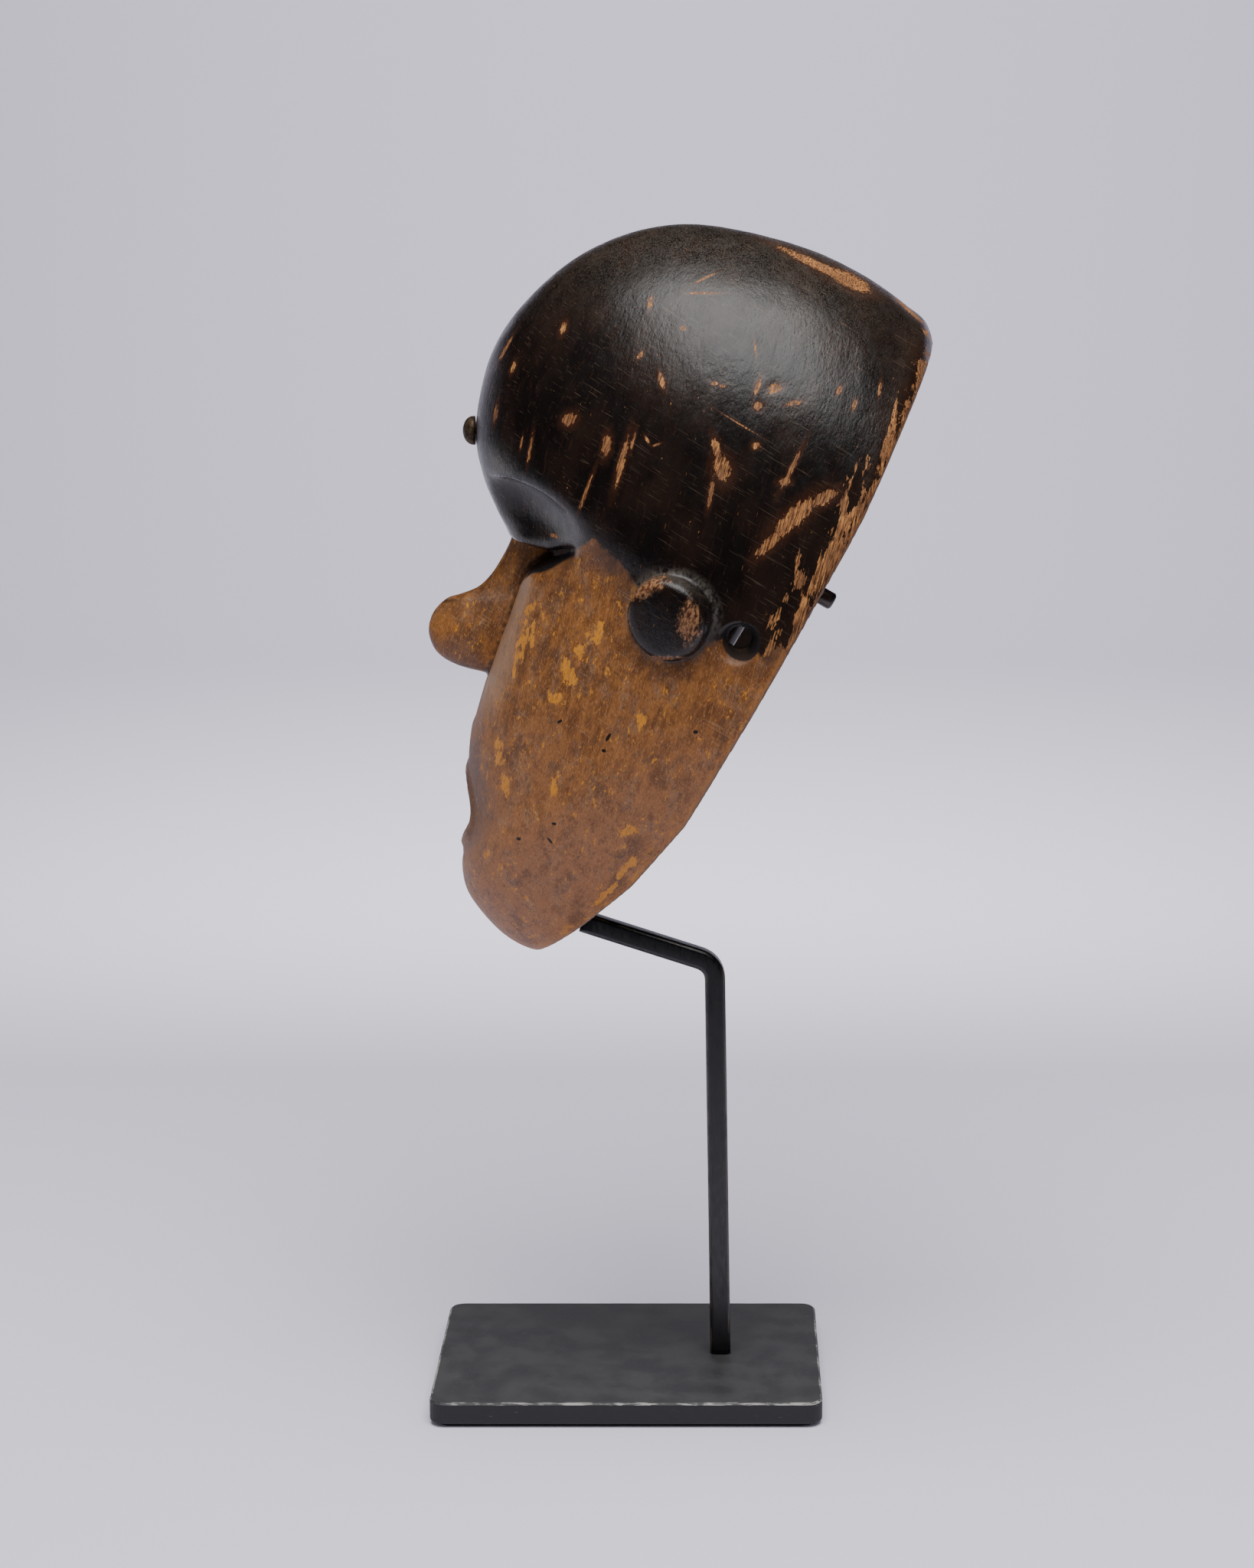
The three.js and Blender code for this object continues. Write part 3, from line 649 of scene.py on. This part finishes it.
def ringed(name, rings, edges, smooth=True):
    """Closed piece through rings of points, with a wear value for each ring or point."""
    rings = np.array(rings, float)
    count, around = rings.shape[:2]
    faces = []
    for i in range(count - 1):
        for k in range(around):
            j = (k + 1) % around
            faces.append((i * around + k, i * around + j, (i + 1) * around + j, (i + 1) * around + k))
    faces.append(tuple(reversed(range(around))))
    faces.append(tuple((count - 1) * around + k for k in range(around)))
    piece = mesh_object(name, rings.reshape(-1, 3), faces, smooth)
    wear = np.broadcast_to(np.array(edges, float), (count, around))
    set_attribute(piece, "wear", wear.ravel())
    return piece


def rounded_rectangle(width, height, corner, steps):
    """Corners of a rounded rectangle, and how near each is to the middle of its rounding."""
    points, wear = [], []
    for turn, (sx, sy) in enumerate(((1, 1), (-1, 1), (-1, -1), (1, -1))):
        for k in range(steps + 1):
            angle = (turn + k / steps) * math.pi / 2
            points.append((sx * (width / 2 - corner) + corner * math.cos(angle),
                           sy * (height / 2 - corner) + corner * math.sin(angle)))
            wear.append(1 - abs(2 * k / steps - 1))
    return np.array(points), np.array(wear)


def bent_line(points, radius, bend_steps):
    """Straight runs joined by round bends, as places and directions in the side view."""
    points = np.array(points, float)
    places = [points[0]]
    for i in range(1, len(points) - 1):
        back = points[i - 1] - points[i]
        on = points[i + 1] - points[i]
        back /= np.linalg.norm(back)
        on /= np.linalg.norm(on)
        run = radius / math.tan(math.acos(np.clip(back @ on, -1, 1)) / 2)
        for k in range(bend_steps + 1):
            t = k / bend_steps
            places.append(points[i] + back * run * (1 - t) ** 2 + on * run * t**2)
    places.append(points[-1])
    dense = [places[0]]
    for a, b in zip(places, places[1:]):
        parts = max(1, round(float(np.linalg.norm(b - a)) / RING_STEP))
        dense.extend(a + (b - a) * k / parts for k in range(1, parts + 1))
    dense = np.array(dense)
    direction = np.gradient(dense, axis=0)
    return dense, direction / np.linalg.norm(direction, axis=1, keepdims=True)


def swept(section, places, directions, scales):
    """Rings of a section carried along a line in the middle plane."""
    rings = []
    for (y, z), (dy, dz), scale in zip(places, directions, scales):
        rings.append([(sx * scale, y - dz * sy * scale, z + dy * sy * scale) for sx, sy in section])
    return rings


def stand_post():
    width = POST["width"]
    section, wear = rounded_rectangle(width, width, POST["corner"], POST["corner_steps"])
    places, directions = bent_line(POST_LINE, POST["bend"], POST["bend_steps"])
    return ringed("post", swept(section, places, directions, np.ones(len(places))), wear)


def circle(radius):
    turns = np.arange(ROUND_SIDES) * 2 * math.pi / ROUND_SIDES
    return [(radius * math.cos(t), radius * math.sin(t)) for t in turns]


def inner_support():
    section = circle(ROD["radius"])
    places, directions = bent_line(ROD_LINE, ROD["bend"], ROD["bend_steps"])
    last = places[-1] - directions[-1] * ROD["chamfer"]
    places = np.vstack([places[:-1], last, places[-1:]])
    directions = np.vstack([directions, directions[-1:]])
    scales = np.ones(len(places)) * ROD["part_of_solid"]
    scales[-1] = 1 - ROD["chamfer"] / ROD["radius"]
    wear = np.zeros((len(places), ROUND_SIDES))
    wear[-2:] = 0.6
    return ringed("rod", swept(section, places, directions, scales), wear)


def stacked(name, corner, levels):
    """The plate's outline at several levels, each with its inset, height and wear."""
    rings, wears = [], []
    for inset, height, wear in levels:
        depth, length = PLATE["depth"] - 2 * inset, PLATE["length"] - 2 * inset
        shape, _ = rounded_rectangle(depth, length, corner - inset, PLATE["corner_steps"])
        rings.append([(x, y, height) for x, y in shape])
        wears.append([wear] * len(shape))
    return ringed(name, rings, wears, smooth=False)


def base_plate():
    top = PLATE_BOTTOM + PLATE["thickness"]
    chamfer = PLATE["chamfer"]
    low, high = PLATE_BOTTOM + chamfer, top - chamfer
    levels = [
        (chamfer, PLATE_BOTTOM, 0.3), (0, low, 0.5), (0, low + WORN_BELOW, 0),
        (0, high - WORN_SIDE, 0), (0, high, 0.8), (chamfer, top, 1), (chamfer + WORN_TOP, top, 0),
    ]
    return stacked("plate", PLATE["corner"], levels)


def base_felt():
    inset = FELT["inset"]
    levels = [(inset, 0, 0), (inset, FELT["thickness"], 0)]
    return stacked("felt_pad", PLATE["corner"] + inset, levels)


def forehead_tack():
    front = float(front_at(np.array([0.0]), np.array([TACK_Z]))[0]) - TACK["gap"]
    radius, collar, dome = TACK["radius"], TACK["collar"], TACK["dome"]
    outline = [(TACK["top"], collar + dome)]
    for k in range(1, TACK["steps"] + 1):
        angle = k / TACK["steps"] * math.pi / 2
        outline.append((radius * math.sin(angle), collar + dome * math.cos(angle)))
    outline += [(radius, 0), (TACK["shank"], 0), (TACK["shank"], -TACK["length"])]
    rings = [[(x, front - height, TACK_Z + z) for x, z in circle(r)] for r, height in outline]
    wear = np.zeros((len(rings), ROUND_SIDES))
    wear[:4] = 1
    return ringed("tack", rings, wear)


# Node materials

class Look:
    """A node material whose sockets are joined by short calls. Places are in millimetres."""

    def __init__(self, name):
        self.material = bpy.data.materials.new(name)
        self.material.use_nodes = True
        self.tree = self.material.node_tree
        self.shader = self.tree.nodes["Principled BSDF"]
        metres = self.tree.nodes.new("ShaderNodeTexCoord").outputs["Object"]
        self.place = self.vector("SCALE", metres, scale=1 / MM)
        self.noise_place = self.place

    def join(self, value, socket):
        if isinstance(value, bpy.types.NodeSocket):
            self.tree.links.new(value, socket)
        elif socket.type == "RGBA":
            socket.default_value = (*value, 1)
        else:
            socket.default_value = value

    def node(self, kind, output, inputs, **settings):
        node = self.tree.nodes.new("ShaderNode" + kind)
        for key, value in settings.items():
            setattr(node, key, value)
        for key, value in inputs.items():
            self.join(value, node.inputs[key])
        return node.outputs[output]

    def math(self, operation, a, b=0.0):
        return self.node("Math", 0, {0: a, 1: b}, operation=operation)

    def add(self, a, b):
        return self.math("ADD", a, b)

    def times(self, a, b):
        return self.math("MULTIPLY", a, b)

    def most(self, a, b):
        return self.math("MAXIMUM", a, b)

    def vector(self, operation, a, b=(0, 0, 0), scale=1.0):
        output = 1 if operation in ("LENGTH", "DOT_PRODUCT") else 0
        return self.node("VectorMath", output, {0: a, 1: b, 3: scale}, operation=operation)

    def ramp(self, value, low, high, at_low=0.0, at_high=1.0):
        inputs = {0: value, 1: low, 2: high, 3: at_low, 4: at_high}
        return self.node("MapRange", 0, inputs, interpolation_type="SMOOTHSTEP")

    def mix(self, part, a, b):
        return self.node("Mix", 2, {0: part, 6: a, 7: b}, data_type="RGBA")

    def noise(self, size, detail=3, rough=0.55, offset=None, place=None):
        """Noise around 0.5 with cells of a given size; an offset sets it apart from others."""
        if place is None:
            place = self.noise_place
        if offset is not None:
            place = self.vector("ADD", place, offset)
        cells = self.vector("DIVIDE", place, size)
        inputs = {"Vector": cells, "Scale": 1.0, "Detail": detail, "Roughness": rough}
        return self.node("TexNoise", 0, inputs)

    def swing(self, noise, reach):
        """A noise turned into an amount to both sides of zero."""
        return self.times(self.add(noise, -0.5), reach)

    def tint(self, colour, where, strength, other):
        return self.mix(self.times(where, strength), colour, other)

    def near(self, spot, far, close):
        """From 0 at one distance from a place to 1 at a lesser one."""
        away = self.vector("LENGTH", self.vector("SUBTRACT", self.place, spot))
        return self.ramp(away, far, close)

    def directions(self, y, z):
        """Places along a direction in the side view and across it."""
        along = self.vector("DOT_PRODUCT", self.place, (0, y, z))
        return along, self.vector("DOT_PRODUCT", self.place, (0, z, -y))

    def attribute(self, name):
        return self.node("Attribute", "Fac", {}, attribute_name=name)

    def part_of(self, place, axis):
        return self.node("SeparateXYZ", axis, {0: place})

    def marks(self, marks):
        """Least distance from a list of marks, 1 on their edges."""
        least = None
        for y, z, half_length, half_width, turn in marks:
            c, s = math.cos(math.radians(turn)), math.sin(math.radians(turn))
            off = self.vector("SUBTRACT", self.place, (0, y, z))
            lengthwise = self.vector("DOT_PRODUCT", off, (0, c / half_length, s / half_length))
            sidewise = self.vector("DOT_PRODUCT", off, (0, -s / half_width, c / half_width))
            away = self.vector("LENGTH", self.node("CombineXYZ", 0, {0: lengthwise, 1: sidewise}))
            least = away if least is None else self.math("MINIMUM", least, away)
        return least

    def finish(self, colour, roughness, height=None, height_mm=0.3, strength=1.0, **plain):
        self.join(colour, self.shader.inputs["Base Color"])
        self.join(roughness, self.shader.inputs["Roughness"])
        if height is not None:
            inputs = {"Height": height, "Distance": height_mm * MM, "Strength": strength}
            self.join(self.node("Bump", 0, inputs), self.shader.inputs["Normal"])
        for name, value in plain.items():
            self.join(value, self.shader.inputs[name.replace("_", " ")])
        return self.material


def carved_wood():
    look = Look("carved_wood")
    ramp, mix, tint, add, times, most = look.ramp, look.mix, look.tint, look.add, look.times, look.most
    noise, swing, near = look.noise, look.swing, look.near
    sideways, height = look.part_of(look.place, "X"), look.part_of(look.place, "Z")
    along, across = look.directions(*GRAIN)
    look.noise_place = look.node("CombineXYZ", 0, {0: sideways, 1: across, 2: along})
    fibre = noise((1.6, 1.1, 9), 4)
    fine = noise((0.9, 0.8, 2.4), 3)
    mottle = noise((7, 5.5, 9), 5, 0.6)
    blotch = noise((24, 18, 30), 3)
    other = noise((11, 8, 13), 4, 0.62, (90, 40, 70))
    speck = noise((1.5, 1.2, 2.2), 4, 0.7)
    tatter = noise((4.4, 3.3, 5.6), 5, 0.72, (51, 23, 67))
    fleck = noise((0.7, 0.5, 1.6), 2, 0.5, (17, 88, 5))
    streaks = noise((1.3, 0.6, 8), 4, 0.7, (33, 71, 12))
    paint, rim, inside, crease, edge, ear_radius, slit, hole_radius = map(look.attribute, STORED)
    normal = look.node("NewGeometry", "Normal", {})

    # Black above a wandering edge and on the ears' discs, ochre below
    wander = add(swing(mottle, 9), swing(fine, 2.5))
    from_front = ramp(look.part_of(look.place, "Y"), -18, -4)
    ear_part = ramp(ear_radius, 18.9, 18.2)
    black_part = most(ramp(add(paint, times(wander, from_front)), -0.9, 0.9), ear_part)

    # Bare wood in marks, along the rim and as small chips
    ragged = add(swing(speck, 1.7), swing(fine, 1))
    left = ramp(sideways, 6, 8)
    left_marks, right_marks = add(look.marks(LEFT_BARE), ragged), add(look.marks(RIGHT_BARE), ragged)
    mark_distance = look.node("Mix", 0, {0: left, 2: right_marks, 3: left_marks}, data_type="FLOAT")
    torn = ramp(streaks, 0.37, 0.47, 0.1, 1)
    marks = times(ramp(mark_distance, 1.06, 0.94), torn)
    halo = ramp(mark_distance, 2.6, 0.9)
    tongues = times(noise((16, 6.5, 24), 4, 0.7), 62)
    rim_width = add(tongues, ramp(height, 432, 466, -23.5, -28.5))
    rim_distance = add(look.math("SUBTRACT", rim_width, rim), swing(speck, 7))
    rim_wear = times(ramp(rim_distance, 0, 0.8), ramp(sideways, -20, 30, 0.75, 1))
    rim_wear = times(times(rim_wear, torn), ramp(height, 340, 352))
    chips = times(ramp(noise((2.6, 1.7, 4), 4, 0.65), 0.685, 0.7), ramp(blotch, 0.46, 0.6))
    edge_chips = times(ramp(edge, 0.5, 0.85), ramp(mottle, 0.52, 0.58))
    dashes = noise((0.9, 0.5, 4.5), 2, 0.6, (11, 57, 83))
    chips = most(chips, times(ramp(dashes, 0.71, 0.75), 0.55))
    bare = times(most(most(marks, rim_wear), most(chips, times(edge_chips, 0.5))), black_part)
    wood = mix(ramp(streaks, 0.42, 0.66), (0.135, 0.05, 0.017), (0.54, 0.24, 0.072))
    wood = tint(wood, ramp(speck, 0.5, 0.64), 0.6, (0.085, 0.032, 0.014))
    wood = tint(wood, ramp(other, 0.44, 0.56), 0.5, (0.125, 0.052, 0.022))

    # Fine scratches lie across the grain
    down, beside = look.directions(*SCRATCH)
    slant = look.node("CombineXYZ", 0, {0: sideways, 1: down, 2: beside})
    scratches = ramp(noise((5, 15, 0.42), 2, 0.5, place=slant), 0.655, 0.69)

    # Black with brown fibres, thin by the rim and the marks, dusty on top
    black = mix(ramp(blotch, 0.38, 0.68), (0.0062, 0.0044, 0.004), (0.0155, 0.0085, 0.0062))
    black = tint(black, ramp(fibre, 0.56, 0.72), 0.45, (0.036, 0.015, 0.0085))
    black = tint(black, ramp(rim, 16, 2), 0.3, (0.04, 0.017, 0.009))
    black = tint(black, halo, 0.4, (0.07, 0.023, 0.01))
    black = tint(black, scratches, 0.55, (0.085, 0.055, 0.036))
    upward = ramp(look.part_of(normal, "Z"), 0.42, 0.95)
    dusty = times(upward, ramp(add(fleck, swing(mottle, 0.25)), 0.34, 0.66))
    black = tint(black, dusty, 0.5, (0.062, 0.048, 0.036))

    # Ochre with paler, dusty, brown and stained areas, and a painted highlight where the face turns
    # forward beside the nose
    ochre = mix(ramp(mottle, 0.32, 0.68), (0.122, 0.042, 0.011), (0.258, 0.097, 0.022))
    ochre = tint(ochre, ramp(fibre, 0.44, 0.7), 0.45, (0.34, 0.142, 0.037))
    ochre = tint(ochre, ramp(fine, 0.54, 0.68), 0.45, (0.068, 0.026, 0.01))
    low = times(ramp(add(height, swing(blotch, 80)), 345, 262), ramp(mottle, 0.2, 0.55))
    ochre = tint(ochre, low, 0.72, (0.295, 0.125, 0.05))
    dust = times(ramp(other, 0.5, 0.64), ramp(fine, 0.36, 0.6))
    ochre = tint(ochre, dust, 0.45, (0.235, 0.148, 0.094))
    brown = ramp(noise((26, 19, 24), 5, 0.7), 0.52, 0.64)
    ochre = tint(ochre, brown, 0.6, (0.075, 0.029, 0.0125))
    stain = times(ramp(tatter, 0.555, 0.58), ramp(other, 0.4, 0.52))
    ochre = tint(ochre, stain, 0.55, (0.105, 0.052, 0.028))
    ochre = tint(ochre, near(NOSE_TIP, 14, 6), 0.35, (0.34, 0.13, 0.02))
    ochre = tint(ochre, near(NOSE_LOW, 15, 8), 0.5, (0.15, 0.078, 0.05))
    # Forward-facing plane beside the nose made paler, chosen by the surface's direction: a painted
    # highlight
    forward = look.part_of(normal, "Y")
    forward = times(ramp(forward, -0.78, -0.9), ramp(forward, -0.99, -0.955))
    painted_highlight_beside_nose = times(times(forward, ramp(height, 312, 335)), ramp(sideways, 15, 20))
    ochre = tint(ochre, painted_highlight_beside_nose, 0.55, (0.36, 0.24, 0.165))

    # Orange patches, some placed and some scattered, more by the chin
    orange_distance = add(look.marks(ORANGE_PATCHES), swing(tatter, 5.5))
    orange = times(ramp(add(orange_distance, times(ragged, 0.6)), 1.08, 0.94), left)
    scattered = times(ramp(tatter, 0.405, 0.385), ramp(other, 0.45, 0.52))
    near_chin = times(ramp(rim, 8, 3), ramp(height, 300, 270))
    near_chin = times(times(near_chin, 0.6), ramp(mottle, 0.54, 0.6))
    orange = most(most(orange, scattered), near_chin)
    ochre = tint(ochre, orange, ramp(fine, 0.34, 0.5, 0.45, 0.92), (0.56, 0.22, 0.02))

    # Flecks and scratches in the ochre, dark by the black and the mouth, pale on worn edges by the rim,
    # and paler on convex edges as a painted highlight
    ochre = tint(ochre, ramp(fleck, 0.575, 0.66), 0.42, (0.42, 0.205, 0.09))
    ochre = tint(ochre, ramp(fleck, 0.41, 0.33), 0.5, (0.066, 0.028, 0.013))
    ochre = tint(ochre, scratches, 0.4, (0.34, 0.21, 0.12))
    under_black = times(ramp(paint, -16, 0), from_front)
    ochre = tint(ochre, under_black, ramp(mottle, 0.3, 0.62), (0.062, 0.027, 0.014))
    ochre = tint(ochre, near(MOUTH_CORNER, 34, 12), 0.55, (0.075, 0.032, 0.016))
    worn_edge = times(ramp(rim, 5, 2), ramp(add(fibre, speck), 0.88, 1.08))
    ochre = tint(ochre, worn_edge, 0.55, (0.36, 0.145, 0.034))
    # Convex edges made paler: a painted highlight
    lit_edges = times(ramp(edge, 0.25, 0.7), ramp(fibre, 0.35, 0.6))
    ochre = tint(ochre, lit_edges, 0.75, (0.42, 0.2, 0.085))

    # The ears' discs are rubbed, the ochre is darkened in its creases as painted shade, pale dust lies
    # around the ears
    rubbed = add(look.marks(EAR_RUBS), swing(tatter, 3))
    rubbed = times(ramp(add(rubbed, ragged), 1.55, 0.5), ear_part)
    bared = mix(ramp(speck, 0.4, 0.6), (0.33, 0.165, 0.078), (0.085, 0.03, 0.015))
    colour = mix(bare, mix(black_part, ochre, tint(black, rubbed, 0.8, bared)), wood)
    # Darker in the ochre's creases: painted shade
    crease_shade = times(ramp(crease, 0.16, 0.55), ramp(mottle, 0.2, 0.5, 0.6, 1))
    crease_shade = times(crease_shade, look.math("SUBTRACT", 1, black_part))
    colour = tint(colour, crease_shade, 0.85, (0.02, 0.01, 0.006))
    ear_root = times(ramp(ear_radius, 23, 19.5), ramp(ear_radius, 17.6, 18.6))
    pale = times(ear_root, ramp(height, 356, 378, 0.25, 1))
    pale = times(pale, ramp(add(speck, mottle), 0.9, 1.12))
    colour = tint(colour, pale, 0.4, (0.14, 0.12, 0.098))

    # The cut back, the hollow, the ear bores, the eye slits and the worm holes
    bore = times(ramp(hole_radius, 8.6, 7.9), ramp(rim, 1, 4))
    cut_face = times(ramp(rim, 1.3, 0.5), look.math("SUBTRACT", 1, inside))
    colour = mix(cut_face, colour, mix(fibre, (0.075, 0.036, 0.018), (0.2, 0.1, 0.048)))
    colour = mix(inside, colour, mix(mottle, (0.016, 0.01, 0.007), (0.052, 0.029, 0.017)))
    # Near black on the walls of the ear bores and the eye slits: painted shade inside the openings
    colour = mix(most(times(bore, 0.9), slit), colour, (0.005, 0.0035, 0.0035))
    holes = times(ramp(add(look.marks(WORM_HOLES), times(ragged, 0.3)), 1.05, 0.85), left)
    colour = mix(holes, colour, (0.006, 0.004, 0.003))

    # Polished where black, dull where bare, hollow, dusty or bored
    rough = add(ramp(black_part, 0, 1, 0.5, 0.27), swing(mottle, 0.3))
    rough = most(rough, most(times(bare, 0.62), times(inside, 0.8)))
    rough = most(rough, most(times(dusty, 0.7), times(ear_root, 0.55)))
    rough = most(rough, times(bore, 0.9))
    relief = add(times(fibre, 0.35), times(mottle, 0.9))
    relief = add(relief, add(times(speck, 0.35), times(fleck, 0.12)))
    return look.finish(colour, rough, relief, 0.42, 0.75, Specular_IOR_Level=0.32)


# The two rods' black: dark, lighter, and how much warm metal shows on worn edges
POST_BLACK = ((0.0045, 0.0045, 0.005), (0.0075, 0.0075, 0.0082), 0.7)
ROD_BLACK = ((0.008, 0.006, 0.0055), (0.03, 0.013, 0.01), 0.3)


def satin_black(name, dark, light, warm_edges):
    look = Look(name)
    wear = look.attribute("wear")
    cloud = look.noise((6, 6, 9), 4)
    scratch = look.noise((0.8, 0.8, 5), 3)
    line = look.times(look.ramp(wear, 0.86, 0.98), look.ramp(cloud, 0.4, 0.56))
    colour = look.mix(look.ramp(cloud, 0.35, 0.65), dark, light)
    colour = look.tint(colour, line, warm_edges, (0.16, 0.1, 0.045))
    rough = look.ramp(scratch, 0.3, 0.7, 0.27, 0.42)
    return look.finish(colour, rough, cloud, 0.1, 0.4)


def plate_steel():
    look = Look("plate_steel")
    wear = look.attribute("wear")
    cloud = look.noise((16, 16, 16), 5, 0.6)
    grit = look.noise((1.4, 1.4, 1.4), 3, 0.6)
    streak = look.noise((1.2, 9, 0.5), 3, 0.6)
    scratch = look.ramp(streak, 0.69, 0.73)
    side = look.ramp(look.part_of(look.node("NewGeometry", "Normal", {}), "Z"), 0.6, 0.3)
    colour = look.mix(look.ramp(cloud, 0.36, 0.66), (0.034, 0.033, 0.035), (0.056, 0.054, 0.0555))
    colour = look.tint(colour, look.ramp(grit, 0.55, 0.7), 0.4, (0.055, 0.052, 0.05))
    # Side faces darker, chosen by the surface's direction: painted shade
    colour = look.tint(colour, side, 0.85, (0.012, 0.012, 0.014))
    bright = look.times(look.ramp(wear, 0.55, 0.85), look.ramp(look.add(streak, cloud), 0.98, 1.1))
    bright = look.most(bright, look.times(scratch, look.ramp(side, 0, 1, 0.1, 0.35)))
    colour = look.tint(colour, bright, 0.85, (0.4, 0.385, 0.36))
    rough = look.ramp(cloud, 0.3, 0.7, 0.52, 0.62)
    return look.finish(colour, rough, grit, 0.08, 0.4, Specular_IOR_Level=0.35)


def felt():
    look = Look("felt")
    fuzz = look.noise((0.5, 0.5, 0.5), 3, 0.7)
    colour = look.mix(fuzz, (0.006, 0.006, 0.007), (0.022, 0.022, 0.024))
    return look.finish(colour, 0.95, fuzz, 0.3, 0.6)


def tack_metal():
    look = Look("tack_metal")
    wear = look.attribute("wear")
    cloud = look.noise((2.2, 2.2, 2.2), 4, 0.6)
    colour = look.mix(look.ramp(cloud, 0.35, 0.65), (0.022, 0.015, 0.01), (0.1, 0.062, 0.032))
    rough = look.ramp(wear, 0, 1, 0.6, 0.42)
    return look.finish(colour, rough, cloud, 0.5, 0.8, Metallic=0.7)


def dress(piece, node, material):
    piece.data.materials.append(material)
    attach(piece, "root")
    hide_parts(node)


dress(carved_mask(), "mask", carved_wood())
dress(forehead_tack(), "forehead_tack", tack_metal())
dress(stand_post(), "stand_post", satin_black("stand_black", *POST_BLACK))
dress(inner_support(), "inner_support", satin_black("rod_black", *ROD_BLACK))
dress(base_plate(), "base_plate", plate_steel())
dress(base_felt(), "base_felt", felt())

# Camera at the photograph's place
CAMERA = {
    "place": (1407.0, 41.5, 563.5), "down": math.radians(11.3), "focal_px": 4154.0,
    "centre_px": 938.0, "sensor_mm": 36,
}
PHOTO_WIDTH, PHOTO_HEIGHT = 1638, 2048


def make_camera():
    data = bpy.data.cameras.new("camera")
    camera = in_scene("camera", data)
    down = CAMERA["down"]
    right = Vector((0, 1, 0))
    up = Vector((-math.sin(down), 0, math.cos(down)))
    back = Vector((math.cos(down), 0, math.sin(down)))
    turn = Matrix((right, up, back)).transposed().to_4x4()
    camera.matrix_world = Matrix.Translation(Vector(CAMERA["place"]) * MM) @ turn
    data.sensor_width = CAMERA["sensor_mm"]
    data.lens = CAMERA["focal_px"] / PHOTO_HEIGHT * data.sensor_width
    data.shift_x = (PHOTO_WIDTH / 2 - CAMERA["centre_px"]) / PHOTO_HEIGHT
    bpy.context.scene.camera = camera


# A pale sweep behind and below, and soft fill from all around
SWEEP = {
    "front": 520.0, "back": -2100.0, "radius": 1100.0, "top": 1150.0, "half_width": 3200.0,
    "steps": 24,
}
PAPER = ((0.80, 0.775, 0.905), (0.81, 0.785, 0.915))
FILL_COLOUR, FILL_STRENGTH = (0.97, 0.97, 1.0, 1), 0.36
# A softbox above, one on the sweep and a weak one low behind: place, aim and size in metres, watts
SOFTBOXES = {
    "key": ((0.66, 0.1, 1.8), (0.3, 0.05, 0), (1.35, 1.48), 50),
    "back": ((-1.3, 0, 1.7), (-3.0, 0, 0.9), (1.0, 3.0), 34),
    "low side": ((-0.6, -1.1, 0.12), (0, 0, 0.41), (0.5, 0.4), 0.6),
}


def sweep():
    profile = [(SWEEP["front"], 0.0), (SWEEP["back"], 0.0)]
    radius = SWEEP["radius"]
    for k in range(1, SWEEP["steps"] + 1):
        angle = k / SWEEP["steps"] * math.pi / 2
        profile.append((SWEEP["back"] - radius * math.sin(angle), radius * (1 - math.cos(angle))))
    profile.append((profile[-1][0], SWEEP["top"]))
    half = SWEEP["half_width"]
    points = [(x, side * half, z) for x, z in profile for side in (-1, 1)]
    faces = [(2 * i, 2 * i + 1, 2 * i + 3, 2 * i + 2) for i in range(len(profile) - 1)]
    paper = mesh_object("sweep", points, faces)
    look = Look("paper")
    cloud = look.noise((700, 700, 700), 2)
    colour = look.mix(cloud, *PAPER)
    paper.data.materials.append(look.finish(colour, 0.9, Specular_IOR_Level=0.1))


def softbox(name, place, aim, size, power):
    data = bpy.data.lights.new(name, "AREA")
    data.shape = "RECTANGLE"
    data.size, data.size_y = size
    data.energy = power
    lamp = in_scene(name, data)
    lamp.location = place
    lamp.rotation_euler = (Vector(place) - Vector(aim)).to_track_quat("Z", "Y").to_euler()
    lamp.visible_camera = False


def surroundings():
    world = bpy.data.worlds.new("surroundings")
    world.use_nodes = True
    background = world.node_tree.nodes["Background"]
    background.inputs["Color"].default_value = FILL_COLOUR
    background.inputs["Strength"].default_value = FILL_STRENGTH
    world.cycles_visibility.glossy = False
    bpy.context.scene.world = world


make_camera()
sweep()
for name, settings in SOFTBOXES.items():
    softbox(name, *settings)
surroundings()
